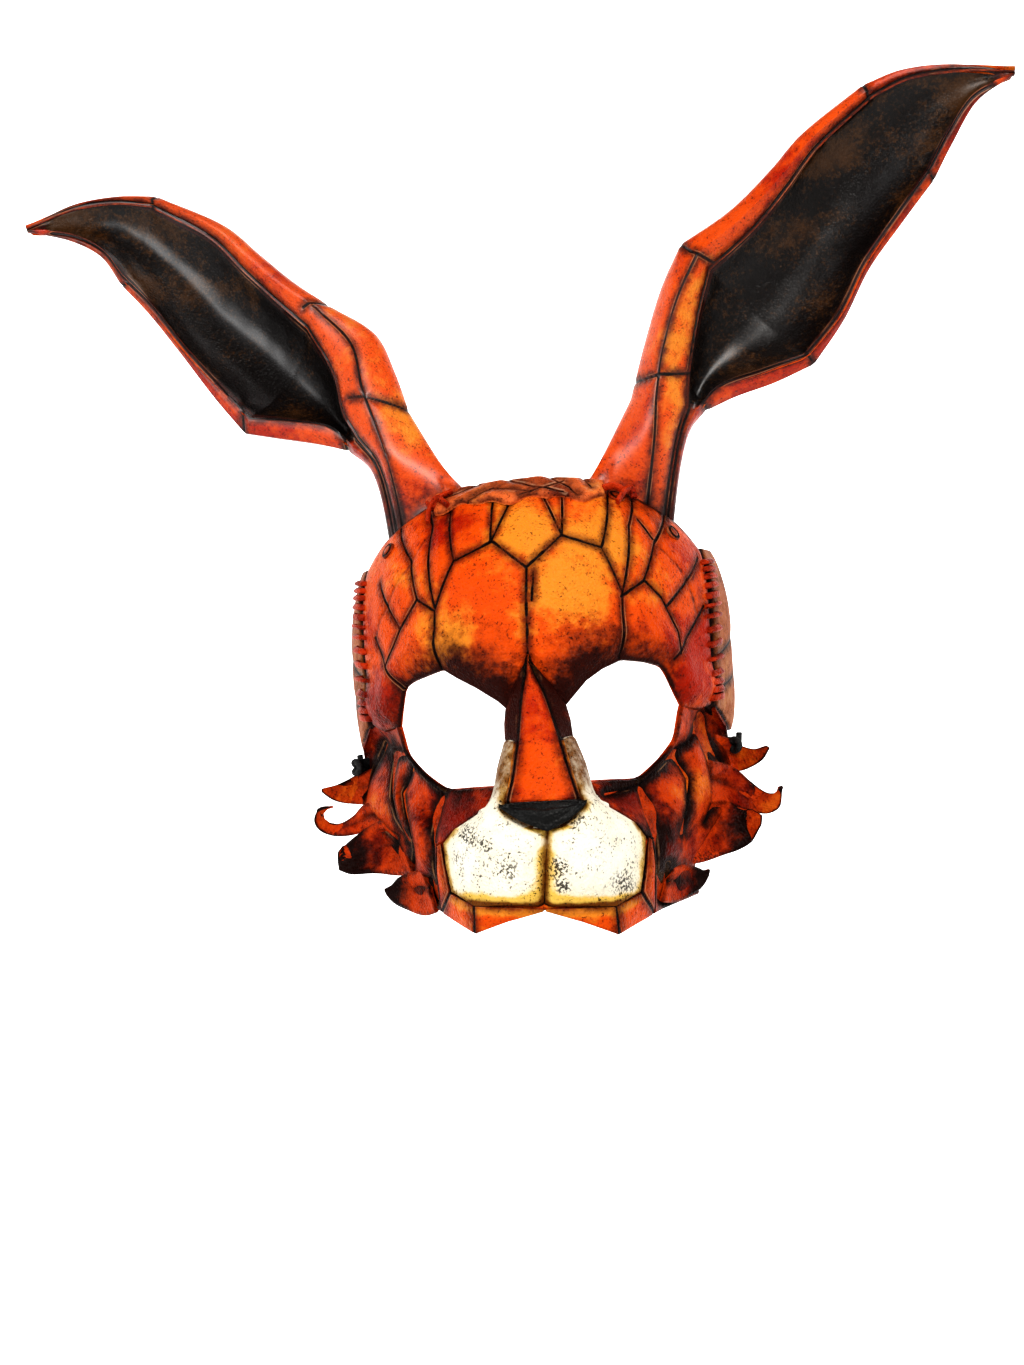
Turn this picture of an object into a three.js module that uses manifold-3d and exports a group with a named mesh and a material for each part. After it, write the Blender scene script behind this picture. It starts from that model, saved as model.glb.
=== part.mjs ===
import * as THREE from 'three';
import { mergeVertices } from 'three/addons/utils/BufferGeometryUtils.js';
import Module from 'manifold-3d';

const wasm = await Module();
wasm.setup();

// Leather rabbit mask, worn over the brow, nose and cheeks, with two long ears.
// X runs to the viewer's right, -Y is the front and Z is up, in millimetres.
// The origin is the middle of the wearer's head at brow height.

// Head and face
const headHalfWidth = 75.5;
const headHalfDepth = 92;
const domeHeight = 77;
const domeMiddle = 6;
const domeSquareness = 2.6;
const snoutReach = 122;
const chinDrop = 90.5;

// Leather and seams
const leather = 2.2;
const seam = 0.5;
const tuck = 0.75;
const muzzleSwell = 4;
const noseSwell = 2.5;
const ridgeCrown = 2;
// Shares of the front and up parts in the direction of the leather's thickness
const frontLean = 0.45;
const upLean = 0.3;

// Lacing
const laceGap = 4;
const laceInset = 2.6;
const laceRadius = 0.75;
const laceStitches = 10;
const laceFirst = 0.06;
const laceRun = 0.9;
const laceClearance = 0.3;

// Ears
const earLength = 216;
const earFold = 13;
const earHollow = 13;
const earLeather = 2.4;
const earSpread = 40.5;
const earRise = 71.5;
const earSetback = 38;
const flangeDrop = 15;

// Rivets
const rivetHeadRadius = 3.2;
const rivetHeadHeight = 1.1;
const rivetShankRadius = 1.1;
const rivetUpset = 0.8;
const rivetClearance = 0.3;

// Head strap; its slot is placed by shares of the cheek's width and height
const slotAcross = 0.88;
const slotDown = 0.13;
const strapWidth = 6;
const strapThickness = 1.4;
const strapReach = 96;
const strapRise = 48;
const knotRadius = 3.4;
const knotFlatness = 0.6;
const strapClearance = 0.4;

const X = new THREE.Vector3(1, 0, 0);
const Y = new THREE.Vector3(0, 1, 0);
const Z = new THREE.Vector3(0, 0, 1);
const vector = (x, y, z) => new THREE.Vector3(x, y, z);
const radians = THREE.MathUtils.degToRad;

// A table's rows as objects, one field for each named column.
function table(columns, rows) {
  const names = columns.split(' ');
  return rows.map((row) => Object.fromEntries(names.map((name, i) => [name, row[i]])));
}

// Marks on the dome, seen from the front: across is a share of headHalfWidth,
// rise a share of domeHeight above the dome's middle, at is the place along the line.
const browLine = table('at across rise', [
  [0, 0, 0.026],
  [0.15, 0.147, -0.201],
  [0.3, 0.272, -0.095],
  [0.46, 0.44, -0.003],
  [0.56, 0.51, -0.01],
  [0.7, 0.653, -0.06],
  [0.82, 0.726, -0.26],
  [1, 0.872, -0.25],
]);
const crownLine = table('at across rise', [
  [0, 0, 0.925],
  [0.3, 0.3, 0.9],
  [0.45, 0.42, 0.873],
  [0.86, 0.745, 0.665],
  [1, 0.857, 0.52],
]);
const laceLine = table('at across rise', [
  [0, 0.872, -0.25],
  [0.25, 0.872, -0.1],
  [0.5, 0.88, 0.18],
  [0.75, 0.878, 0.377],
  [1, 0.857, 0.52],
]);
// The side panel's ends as shares of domeHeight, and its azimuths in degrees.
const panelTop = 0.54;
const panelFoot = -0.39;
const panelFootFront = 79;
const panelFootBack = 89;
const panelBack = 93;
const panelCorner = 0.938;

// Marks of the lower face: across is a share of headHalfWidth, front of snoutReach
// and up of chinDrop.
const marks = Object.fromEntries([
  ['bridgeStep', 0.115, 0.843, -0.232],
  ['bridgeLow', 0.152, 0.893, -0.359],
  ['bridgeFoot', 0.19, 0.926, -0.459],
  ['nostril', 0.215, 0.945, -0.502],
  ['noseSide', 0.115, 0.968, -0.562],
  ['noseTip', 0, 0.984, -0.603],
  ['grooveMid', 0, 0.978, -0.7],
  ['grooveLow', 0, 0.966, -0.79],
  ['grooveFoot', 0, 0.95, -0.884],
  ['eyeInnerMid', 0.171, 0.77, -0.228],
  ['eyeInnerLow', 0.215, 0.787, -0.34],
  ['eyeCorner', 0.232, 0.798, -0.413],
  ['stripFoot', 0.26, 0.84, -0.485],
  ['muzzleShoulder', 0.436, 0.815, -0.575],
  ['muzzleTop', 0.494, 0.775, -0.636],
  ['muzzleSide', 0.484, 0.782, -0.73],
  ['muzzleLow', 0.46, 0.8, -0.842],
  ['muzzleFoot', 0.338, 0.905, -0.88],
  ['lipTop', 0.52, 0.762, -0.645],
  ['lipSide', 0.528, 0.745, -0.75],
  ['lipCorner', 0.516, 0.72, -0.938],
  ['lipPoint', 0.343, 0.905, -1],
  ['lipInner', 0.172, 0.94, -0.945],
  ['lipMiddle', 0, 0.948, -0.905],
  ['lidMiddle', 0.35, 0.725, -0.418],
  ['lidLow', 0.478, 0.672, -0.42],
  ['lidOuter', 0.672, 0.55, -0.28],
  ['cheekValley', 0.56, 0.63, -0.93],
  ['cheekFoot', 0.745, 0.47, -0.885],
].map(([name, across, front, up]) => [
  name,
  vector(across * headHalfWidth, -front * snoutReach, up * chinDrop),
]));

// Marks of the cheek's outer edge, where the locks grow out of it.
const lockMarks = Object.fromEntries([
  ['slotFoot', 0.955, 0.11, -0.335],
  ['lockOneLow', 0.97, 0.21, -0.46],
  ['lockTwoLow', 0.915, 0.33, -0.552],
  ['lockThreeLow', 0.725, 0.475, -0.768],
].map(([name, across, front, up]) => [
  name,
  vector(across * headHalfWidth, -front * snoutReach, up * chinDrop),
]));

// Locks: each grows between two shares of the way down the cheek's outer edge and ends in a
// tip. The bends are the middle points of its upper and lower edges.
const lockTable = table('from to upperBend lowerBend tip hollow', [
  [0.15, 0.3, [1.06, 0.2, -0.42], [1.1, 0.24, -0.475], [1.165, 0.26, -0.35], 0.03],
  [0.32, 0.53, [1.08, 0.29, -0.56], [1.16, 0.33, -0.66], [1.195, 0.38, -0.49], 0.05],
  [0.545, 0.865, [1.1, 0.3, -0.63], [0.9, 0.42, -0.79], [1.06, 0.33, -0.735], 0.06],
  [0.88, 0.99, [0.79, 0.5, -0.9], [0.75, 0.49, -0.95], [0.84, 0.49, -0.83], 0.03],
]);
const lockRoot = 0.94;
const lockSink = 0.4;
const lockEnd = 0.97;

// Nose bridge sections from the brow to the nose: across and strip are shares of
// headHalfWidth, front and stripFront of snoutReach and up of chinDrop.
const bridgeSections = table('up across front strip stripFront', [
  [0.06, 0.006, 0.766, 0.02, 0.752],
  [-0.02, 0.034, 0.785, 0.085, 0.748],
  [-0.105, 0.07, 0.81, 0.143, 0.742],
  [-0.215, 0.098, 0.848, 0.168, 0.766],
  [-0.232, 0.1, 0.853, 0.11, 0.843],
  [-0.359, 0.133, 0.903, 0.143, 0.893],
  [-0.466, 0.17, 0.938, 0.18, 0.928],
]);

// Rungs of the muzzle from its inner to its outer edge, and how much it swells between them.
const muzzleRungs = table('inner outer swell', [
  ['bridgeStep', 'eyeInnerMid', 0],
  ['bridgeLow', 'eyeInnerLow', 0],
  ['bridgeFoot', 'eyeCorner', 0.1],
  ['nostril', 'stripFoot', 0.35],
  ['noseSide', 'muzzleShoulder', 0.8],
  ['noseTip', 'muzzleTop', 1],
  ['grooveMid', 'muzzleSide', 1],
  ['grooveLow', 'muzzleLow', 0.8],
  ['grooveFoot', 'muzzleFoot', 0.25],
]);

// Ear sections from the root to the tip, in the ear's own plane: the inner and the outer
// edge (out, up) as shares of earLength, the ridge and cup edges as shares of the way across,
// the depths as shares of earFold and earHollow, and how far a slumped shoulder draws in.
const earSections = table('innerOut innerUp outerOut outerUp ridge cupFrom cupTo fold hollow slump', [
  [-0.081, 0.028, 0.083, -0.02, 0.6, 0.86, 0.93, 0.45, 0, 0],
  [-0.03, 0.097, 0.108, 0.09, 0.52, 0.84, 0.92, 0.95, 0, 0],
  [0.007, 0.165, 0.137, 0.128, 0.33, 0.76, 0.9, 1, 0.05, 0],
  [0.058, 0.294, 0.234, 0.163, 0.17, 0.37, 0.86, 0.95, 0.75, 0.25],
  [0.109, 0.424, 0.332, 0.197, 0.12, 0.236, 0.915, 0.8, 1, 1],
  [0.276, 0.549, 0.461, 0.391, 0.1, 0.2, 0.91, 0.55, 0.95, 0.5],
  [0.36, 0.628, 0.54, 0.484, 0.08, 0.16, 0.9, 0.45, 0.8, 0.3],
  [0.447, 0.683, 0.577, 0.539, 0.08, 0.14, 0.88, 0.4, 0.6, 0.1],
  [0.53, 0.706, 0.625, 0.61, 0.1, 0.18, 0.82, 0.3, 0.35, 0],
  [0.61, 0.711, 0.655, 0.65, 0.15, 0.25, 0.75, 0.2, 0.15, 0],
  [0.71, 0.697, 0.717, 0.688, 0.3, 0.4, 0.6, 0.05, 0, 0],
]);
// The ears' poses in degrees: lean tips the ear back, droop tips it outwards, turn faces it outwards.
const earPoses = table('name side lean droop turn slump', [
  ['left', -1, 14.3, 5.2, 7.6, 0.22],
  ['right', 1, 0, 0, 0, 0],
]);
// Rivets seen from the front, as shares of headHalfWidth and domeHeight.
const rivetPlaces = table('name across rise', [
  ['inner', 0.444, 0.795],
  ['outer', 0.713, 0.605],
]);

const hide = {
  orange: new THREE.MeshStandardMaterial({ color: 0xc8501a, roughness: 0.42, metalness: 0 }),
  red: new THREE.MeshStandardMaterial({ color: 0x8e2f12, roughness: 0.42, metalness: 0 }),
  brown: new THREE.MeshStandardMaterial({ color: 0x7a4526, roughness: 0.5, metalness: 0 }),
  cream: new THREE.MeshStandardMaterial({ color: 0xe9e2cf, roughness: 0.5, metalness: 0 }),
  black: new THREE.MeshStandardMaterial({ color: 0x171412, roughness: 0.35, metalness: 0 }),
  elastic: new THREE.MeshStandardMaterial({ color: 0x101010, roughness: 0.85, metalness: 0 }),
};

// Point of the dome from its azimuth, measured from the front, and its elevation.
function domePoint(azimuth, elevation) {
  const up = Math.sin(elevation);
  const out = Math.cos(elevation);
  const power = Math.abs(up) ** domeSquareness + Math.abs(out) ** domeSquareness;
  const size = power ** (1 / domeSquareness);
  return vector(
    headHalfWidth * (out / size) * Math.sin(azimuth),
    -headHalfDepth * (out / size) * Math.cos(azimuth),
    domeMiddle + domeHeight * (up / size),
  );
}

// Azimuth and elevation of the dome point that the front view shows at these shares.
function domeAngles(across, rise) {
  const girth = (1 - Math.abs(rise) ** domeSquareness) ** (1 / domeSquareness);
  return vector(Math.asin(Math.min(1, across / girth)), Math.atan2(rise, girth), 0);
}

function onDome(across, rise) {
  const angles = domeAngles(across, rise);
  return domePoint(angles.x, angles.y);
}

// The direction in which the leather's thickness is laid off: towards the middle of the head.
function towardHead(point) {
  return vector(-point.x, -frontLean * point.y, -upLean * point.z).normalize();
}

// Point at a share of the way along a list of points, by length.
function along(points, share) {
  const lengths = [0];
  for (let i = 1; i < points.length; i += 1) {
    lengths.push(lengths[i - 1] + points[i].distanceTo(points[i - 1]));
  }
  const target = share * lengths.at(-1);
  let i = 1;
  while (i < points.length - 1 && lengths[i] < target) i += 1;
  const part = (target - lengths[i - 1]) / (lengths[i] - lengths[i - 1]);
  return points[i - 1].clone().lerp(points[i], part);
}

// Shares of the way along a list of points that meet every point, with parts between them.
function stopsOf(points, parts) {
  const lengths = [0];
  for (let i = 1; i < points.length; i += 1) {
    lengths.push(lengths[i - 1] + points[i].distanceTo(points[i - 1]));
  }
  const shares = lengths.map((length) => length / lengths.at(-1));
  return [0, ...shares.slice(1).flatMap((share, i) => steps(parts, shares[i], share).slice(1))];
}

// Dome angles at a place along a line of dome marks.
function lineAngles(line, place) {
  let i = 1;
  while (i < line.length - 1 && line[i].at < place) i += 1;
  const part = (place - line[i - 1].at) / (line[i].at - line[i - 1].at);
  const from = domeAngles(line[i - 1].across, line[i - 1].rise);
  return from.lerp(domeAngles(line[i].across, line[i].rise), part);
}

// Patch between four edges that meet at their ends.
function patch(low, high, left, right) {
  return (u, v) => low(u).multiplyScalar(1 - v)
    .addScaledVector(high(u), v)
    .addScaledVector(left(v), 1 - u)
    .addScaledVector(right(v), u)
    .addScaledVector(low(0), -(1 - u) * (1 - v))
    .addScaledVector(low(1), -u * (1 - v))
    .addScaledVector(high(0), -(1 - u) * v)
    .addScaledVector(high(1), -u * v);
}

// Closed body from points and triangles, turned so that its faces point out.
function body(points, triangles) {
  let volume = 0;
  for (const [a, b, c] of triangles) {
    volume += points[a].dot(points[b].clone().cross(points[c]));
  }
  const geometry = new THREE.BufferGeometry();
  geometry.setAttribute('position', new THREE.Float32BufferAttribute(points.flatMap((p) => p.toArray()), 3));
  geometry.setIndex(triangles.flatMap(([a, b, c]) => (volume > 0 ? [a, b, c] : [a, c, b])));
  return geometry;
}

// Grid of points on a surface, row by row.
function sample(surface, across, rows) {
  return rows.map((v) => across.map((u) => surface(u, v)));
}

function steps(count, from = 0, to = 1) {
  return Array.from({ length: count + 1 }, (_, i) => from + ((to - from) * i) / count);
}

// Moves the border of a grid inwards by half a seam, so that neighbours keep a gap.
function trimmed(grid) {
  const last = grid.length - 1;
  const end = grid[0].length - 1;
  const shift = (edge, inner) => edge.addScaledVector(inner.clone().sub(edge).normalize(), seam / 2);
  for (let i = 0; i <= end; i += 1) {
    shift(grid[0][i], grid[1][i]);
    shift(grid[last][i], grid[last - 1][i]);
  }
  for (const row of grid) {
    shift(row[0], row[1]);
    shift(row[end], row[end - 1]);
  }
  return grid;
}

// Leather sheet: a grid of outer points, the same grid laid off inwards, and the rims.
function sheet(grid, thickness = leather, inward = towardHead) {
  const rows = grid.length;
  const columns = grid[0].length;
  const count = rows * columns;
  const backs = grid.flatMap((row, j) => row.map(
    (point, i) => point.clone().addScaledVector(inward(point, grid, j, i), thickness),
  ));
  const triangles = [];
  const quad = (a, b, c, d) => triangles.push([a, b, c], [a, c, d]);
  const at = (j, i) => j * columns + i;
  for (let j = 0; j + 1 < rows; j += 1) {
    for (let i = 0; i + 1 < columns; i += 1) {
      quad(at(j, i), at(j, i + 1), at(j + 1, i + 1), at(j + 1, i));
      quad(count + at(j, i), count + at(j + 1, i), count + at(j + 1, i + 1), count + at(j, i + 1));
    }
    quad(at(j, 0), at(j + 1, 0), count + at(j + 1, 0), count + at(j, 0));
    const end = at(j, columns - 1);
    quad(end, count + end, count + end + columns, end + columns);
  }
  for (let i = 0; i + 1 < columns; i += 1) {
    quad(at(0, i), count + at(0, i), count + at(0, i + 1), at(0, i + 1));
    quad(at(rows - 1, i), at(rows - 1, i + 1), count + at(rows - 1, i + 1), count + at(rows - 1, i));
  }
  return body([...grid.flat(), ...backs], triangles);
}

function flipped(point) {
  return vector(-point.x, point.y, point.z);
}

// Body mirrored to the other side of the face.
function mirrored(geometry) {
  const copy = toGeometry(toSolid(geometry)).scale(-1, 1, 1);
  const index = copy.index.array;
  for (let i = 0; i < index.length; i += 3) {
    [index[i], index[i + 1]] = [index[i + 1], index[i]];
  }
  return copy;
}

function toSolid(geometry) {
  const plain = geometry.clone();
  plain.deleteAttribute('normal');
  plain.deleteAttribute('uv');
  const welded = mergeVertices(plain, 1e-4);
  return new wasm.Manifold(new wasm.Mesh({
    numProp: 3,
    vertProperties: new Float32Array(welded.attributes.position.array),
    triVerts: new Uint32Array(welded.index.array),
  }));
}

function toGeometry(solid) {
  const mesh = solid.getMesh();
  const geometry = new THREE.BufferGeometry();
  geometry.setAttribute('position', new THREE.BufferAttribute(mesh.vertProperties, 3));
  geometry.setIndex(new THREE.BufferAttribute(mesh.triVerts, 1));
  return geometry;
}

function joined(geometries) {
  return toGeometry(geometries.map(toSolid).reduce((whole, piece) => whole.add(piece)));
}

function cut(geometry, cutters) {
  const whole = toSolid(geometry);
  return toGeometry(cutters.map(toSolid).reduce((rest, cutter) => rest.subtract(cutter), whole));
}

// Tube along a curve; its outline is a list of places across the curve.
function tube(points, outline, count) {
  const curve = new THREE.CatmullRomCurve3(points, false, 'centripetal');
  return new THREE.ExtrudeGeometry(new THREE.Shape(outline.map(([x, y]) => new THREE.Vector2(x, y))), {
    extrudePath: curve,
    steps: count,
    bevelEnabled: false,
  });
}

function ring(radius, sides) {
  const turns = steps(sides).slice(1).map((share) => share * 2 * Math.PI);
  return turns.map((angle) => [radius * Math.cos(angle), radius * Math.sin(angle)]);
}

// Forehead plate: brow line below, crown line above, lacing lines at both sides.
function foreheadPlate() {
  const middle = (v) => lineAngles(browLine, 0).lerp(lineAngles(crownLine, 0), v);
  const half = patch(
    (u) => lineAngles(browLine, u),
    (u) => lineAngles(crownLine, u),
    middle,
    (v) => lineAngles(laceLine, v),
  );
  const surface = (u, v) => {
    const angles = half(Math.abs(u), v);
    return domePoint(Math.sign(u) * angles.x, angles.y);
  };
  const halfStops = [0, 0.075, 0.15, 0.225, 0.3, 0.38, 0.46, 0.58, 0.7, 0.82, 1];
  const stops = [...halfStops.slice(1).reverse().map((u) => -u), ...halfStops];
  return sheet(trimmed(sample(surface, stops, steps(8))));
}

// Place on the lacing: beside is measured outwards from the plate's edge, off away from the head.
function lacePoint(place, beside, off) {
  const angles = lineAngles(laceLine, place);
  const edge = domePoint(angles.x, angles.y);
  const girth = Math.hypot(edge.x, edge.y);
  const point = domePoint(angles.x + beside / girth, angles.y);
  return point.addScaledVector(towardHead(point), -off);
}

// Thong that whips the plate to the side panel through facing holes.
function laceThong(radius) {
  const above = laceRadius + laceClearance + seam / 2;
  const below = leather + above;
  const pitch = laceRun / laceStitches;
  const points = [];
  for (let i = 0; i < laceStitches; i += 1) {
    const place = laceFirst + i * pitch;
    points.push(lacePoint(place, -laceInset, above));
    points.push(lacePoint(place + pitch / 4, laceGap + laceInset, above));
    points.push(lacePoint(place + pitch / 4, laceGap + laceInset, -below));
    points.push(lacePoint(place + pitch, -laceInset, -below));
  }
  return tube(points.slice(0, -1), ring(radius, 4), laceStitches * 7);
}

// Temple leather behind the lacing, cut off slantwise above the strap slot.
function sidePanel() {
  const laced = (rise) => {
    const share = (rise - laceLine[0].rise) / (laceLine.at(-1).rise - laceLine[0].rise);
    const angles = lineAngles(laceLine, THREE.MathUtils.clamp(share, 0, 1));
    const edge = domePoint(angles.x, angles.y);
    return angles.x + laceGap / Math.hypot(edge.x, edge.y);
  };
  const slant = (rise) => Math.max(0, (laceLine[0].rise - rise) / (laceLine[0].rise - panelFoot));
  const front = (rise) => THREE.MathUtils.lerp(laced(rise), radians(panelFootFront), slant(rise));
  const back = (rise) => radians(THREE.MathUtils.lerp(panelBack, panelFootBack, slant(rise)));
  const surface = (u, rise) => {
    const azimuth = THREE.MathUtils.lerp(front(rise), back(rise), u);
    return domePoint(azimuth, domeAngles(0, rise).y);
  };
  const rises = [...steps(2, panelFoot, laceLine[0].rise), ...steps(8, laceLine[0].rise, panelTop).slice(1)];
  return sheet(trimmed(sample(surface, steps(5), rises)));
}

// Raised ridge with two side strips that end at the step beside the eyes.
function noseBridge() {
  const grid = [];
  const place = (row) => [
    vector(row.strip * headHalfWidth, -row.stripFront * snoutReach, row.up * chinDrop),
    vector(row.across * headHalfWidth, -row.front * snoutReach, row.up * chinDrop),
    vector(row.across * 0.5 * headHalfWidth, -row.front * snoutReach - 0.75 * ridgeCrown, row.up * chinDrop),
    vector(0, -row.front * snoutReach - ridgeCrown, row.up * chinDrop),
  ];
  for (let k = 0; k + 1 < bridgeSections.length; k += 1) {
    const from = place(bridgeSections[k]);
    const to = place(bridgeSections[k + 1]);
    const parts = k === 3 ? 1 : 3;
    for (let j = k === 0 ? 0 : 1; j <= parts; j += 1) {
      const half = from.map((point, i) => point.clone().lerp(to[i], j / parts));
      grid.push([...half.slice(0, 3).map(flipped), ...half.reverse()]);
    }
  }
  return sheet(trimmed(grid));
}

// Black nose pad between the ridge's foot and the muzzle's inner edge.
function noseTip() {
  const { bridgeFoot, nostril, noseSide, noseTip: tip } = marks;
  const lowLine = [nostril, noseSide, tip];
  const ridgeFoot = bridgeSections.at(-1);
  const topOf = (u) => {
    const front = ridgeFoot.front * snoutReach + ridgeCrown * (1 - u * u);
    const up = THREE.MathUtils.lerp(ridgeFoot.up * chinDrop, nostril.z + seam, u * u);
    return vector(u * (nostril.x - seam), -front, up - seam / 2);
  };
  const lowOf = (u) => {
    const low = along(lowLine, 1 - Math.abs(u));
    return vector(low.x * Math.sign(u || 1), low.y, low.z + seam / 2);
  };
  const surface = (u, v) => {
    const point = topOf(u).lerp(lowOf(u), v);
    return point.addScaledVector(Y, -noseSwell * Math.sin(Math.PI * v) * (1 - u * u));
  };
  return sheet(trimmed(sample(surface, steps(10, -0.95, 0.95), steps(3))));
}

// Point of the muzzle on one of its rungs: flat in front, rounded towards its outer edge.
function muzzlePoint(rung, u) {
  const from = marks[rung.inner];
  const to = marks[rung.outer];
  const bow = Math.abs(to.y - from.y) * 0.6 * (u - u ** 3);
  const swell = muzzleSwell * rung.swell * Math.sin(Math.PI * u) ** 0.8;
  return from.clone().lerp(to, u).addScaledVector(Y, -bow - swell);
}

// Cream muzzle with the two strips beside the ridge.
function muzzle() {
  const grid = muzzleRungs.map((rung) => steps(7).map((u) => muzzlePoint(rung, u)));
  trimmed(grid);
  for (const row of grid.slice(5)) row[0].x = 0;
  const half = sheet(grid);
  return joined([half, mirrored(half)]);
}

// Lip rim below and beside the muzzle, with a point under each lobe.
function lipRim() {
  const { lipTop, lipSide, lipCorner, lipPoint, lipInner, lipMiddle } = marks;
  const outer = [lipTop, lipSide, lipCorner, lipPoint, lipInner, lipMiddle];
  const foot = muzzleRungs.at(-1);
  const side = muzzleRungs.slice(-4).map((rung) => muzzlePoint(rung, 1));
  const innerStops = [...side, muzzlePoint(foot, 0.5), muzzlePoint(foot, 0)];
  const grid = [];
  for (let k = 0; k + 1 < outer.length; k += 1) {
    for (let j = k === 0 ? 0 : 1; j <= 3; j += 1) {
      const from = innerStops[k].clone().lerp(innerStops[k + 1], j / 3);
      const to = outer[k].clone().lerp(outer[k + 1], j / 3);
      grid.push([from, from.clone().lerp(to, 0.5), to]);
    }
  }
  trimmed(grid);
  for (const point of grid.at(-1)) point.x = 0;
  const half = sheet(grid);
  return joined([half, mirrored(half)]);
}

// Curled lock that grows out of the cheek's surface.
function lockLeaf(cheekSurface, row) {
  const place = ([across, front, up]) => vector(across * headHalfWidth, -front * snoutReach, up * chinDrop);
  const rooted = (share) => {
    const point = cheekSurface(lockRoot, share);
    return point.addScaledVector(towardHead(point), lockSink * leather);
  };
  const tip = place(row.tip);
  const upper = new THREE.QuadraticBezierCurve3(rooted(row.from), place(row.upperBend), tip);
  const lower = new THREE.QuadraticBezierCurve3(rooted(row.to), place(row.lowerBend), tip);
  const surface = (u, v) => {
    const share = lockEnd * v;
    const point = upper.getPoint(share).lerp(lower.getPoint(share), u);
    const depth = row.hollow * headHalfWidth * Math.sin(Math.PI * u) * Math.sin(Math.PI * share);
    return point.addScaledVector(towardHead(point), depth);
  };
  return sheet(sample(surface, steps(3), steps(5)));
}

// Inward direction of a grid that faces the front: square to its rows and columns.
function gridInward(point, grid, j, i) {
  const rows = grid.length - 1;
  const columns = grid[0].length - 1;
  const down = grid[Math.min(j + 1, rows)][i].clone().sub(grid[Math.max(j - 1, 0)][i]);
  const over = grid[j][Math.min(i + 1, columns)].clone().sub(grid[j][Math.max(i - 1, 0)]);
  return down.cross(over).normalize();
}

// Edges of the cheek: the lid under the eye, the muzzle's side, the locks' side and the foot.
function cheekEdges() {
  const tongueInner = onDome(browLine.at(-2).across, browLine.at(-2).rise - 0.01);
  const tongueOuter = onDome(browLine.at(-1).across, browLine.at(-1).rise - 0.01);
  const panelEdge = onDome(panelCorner, panelFoot + 0.03);
  const { eyeCorner, lidMiddle, lidLow, lidOuter, stripFoot, muzzleShoulder, muzzleTop } = marks;
  const { lipTop, lipSide, lipCorner, cheekValley, cheekFoot } = marks;
  const { slotFoot, lockOneLow, lockTwoLow, lockThreeLow } = lockMarks;
  return {
    lid: [eyeCorner, lidMiddle, lidLow, lidOuter, tongueInner, tongueOuter, panelEdge],
    inner: [eyeCorner, stripFoot, muzzleShoulder, muzzleTop, lipTop, lipSide, lipCorner],
    outer: [panelEdge, slotFoot, lockOneLow, lockTwoLow, lockThreeLow, cheekFoot],
    foot: [lipCorner, cheekValley, cheekFoot],
  };
}

function cheekSurface() {
  const edges = cheekEdges();
  return patch(
    (u) => along(edges.lid, u),
    (u) => along(edges.foot, u),
    (v) => along(edges.inner, v),
    (v) => along(edges.outer, v),
  );
}

// Cheek with its locks, cut through where the head strap passes.
function cheek() {
  const surface = cheekSurface();
  const { lid, inner } = cheekEdges();
  const plain = sheet(trimmed(sample(surface, stopsOf(lid, 2), stopsOf(inner, 2))));
  const locked = joined([plain, ...lockTable.map((row) => lockLeaf(surface, row))]);
  return cut(locked, [strapBand(strapClearance)]);
}

// The slot's middle on the right cheek, and the direction into the head there.
function strapSlot() {
  const surface = cheekSurface();
  const seat = surface(slotAcross, slotDown);
  const over = surface(slotAcross + 0.02, slotDown).sub(seat);
  const down = surface(slotAcross, slotDown + 0.02).sub(seat);
  return { seat, inward: over.cross(down).normalize() };
}

// Elastic band from slot to slot round the back of the head, grown by a clearance for the slots.
function strapBand(grown) {
  const { seat, inward } = strapSlot();
  const outside = seat.clone().addScaledVector(inward, -strapThickness - 1);
  const inside = seat.clone().addScaledVector(inward, leather + 3);
  const halfWidth = inside.x + strapThickness;
  const back = steps(7, 0.14, 1).map((share) => {
    const angle = (share * Math.PI) / 2;
    const rise = THREE.MathUtils.smoothstep(share, 0.05, 0.5) * strapRise;
    const reach = (strapReach - inside.y) * Math.sin(angle);
    return vector(halfWidth * Math.cos(angle) ** 0.7, inside.y + reach, inside.z + rise);
  });
  const half = [outside, seat, inside, ...back];
  const thick = strapThickness / 2 + grown;
  const wide = strapWidth / 2 + grown;
  const outline = [[-wide, -thick], [wide, -thick], [wide, thick], [-wide, thick]];
  return tube([...half, ...half.slice(0, -1).reverse().map(flipped)], outline, 34);
}

function headStrap() {
  const { seat, inward } = strapSlot();
  const centre = seat.addScaledVector(inward, -knotRadius * knotFlatness - strapClearance);
  const knot = new THREE.SphereGeometry(knotRadius, 8, 6).scale(knotFlatness, 1, 0.8);
  knot.applyQuaternion(new THREE.Quaternion().setFromUnitVectors(X, inward));
  knot.translate(centre.x, centre.y, centre.z);
  return joined([strapBand(0), knot, mirrored(knot)]);
}

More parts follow.
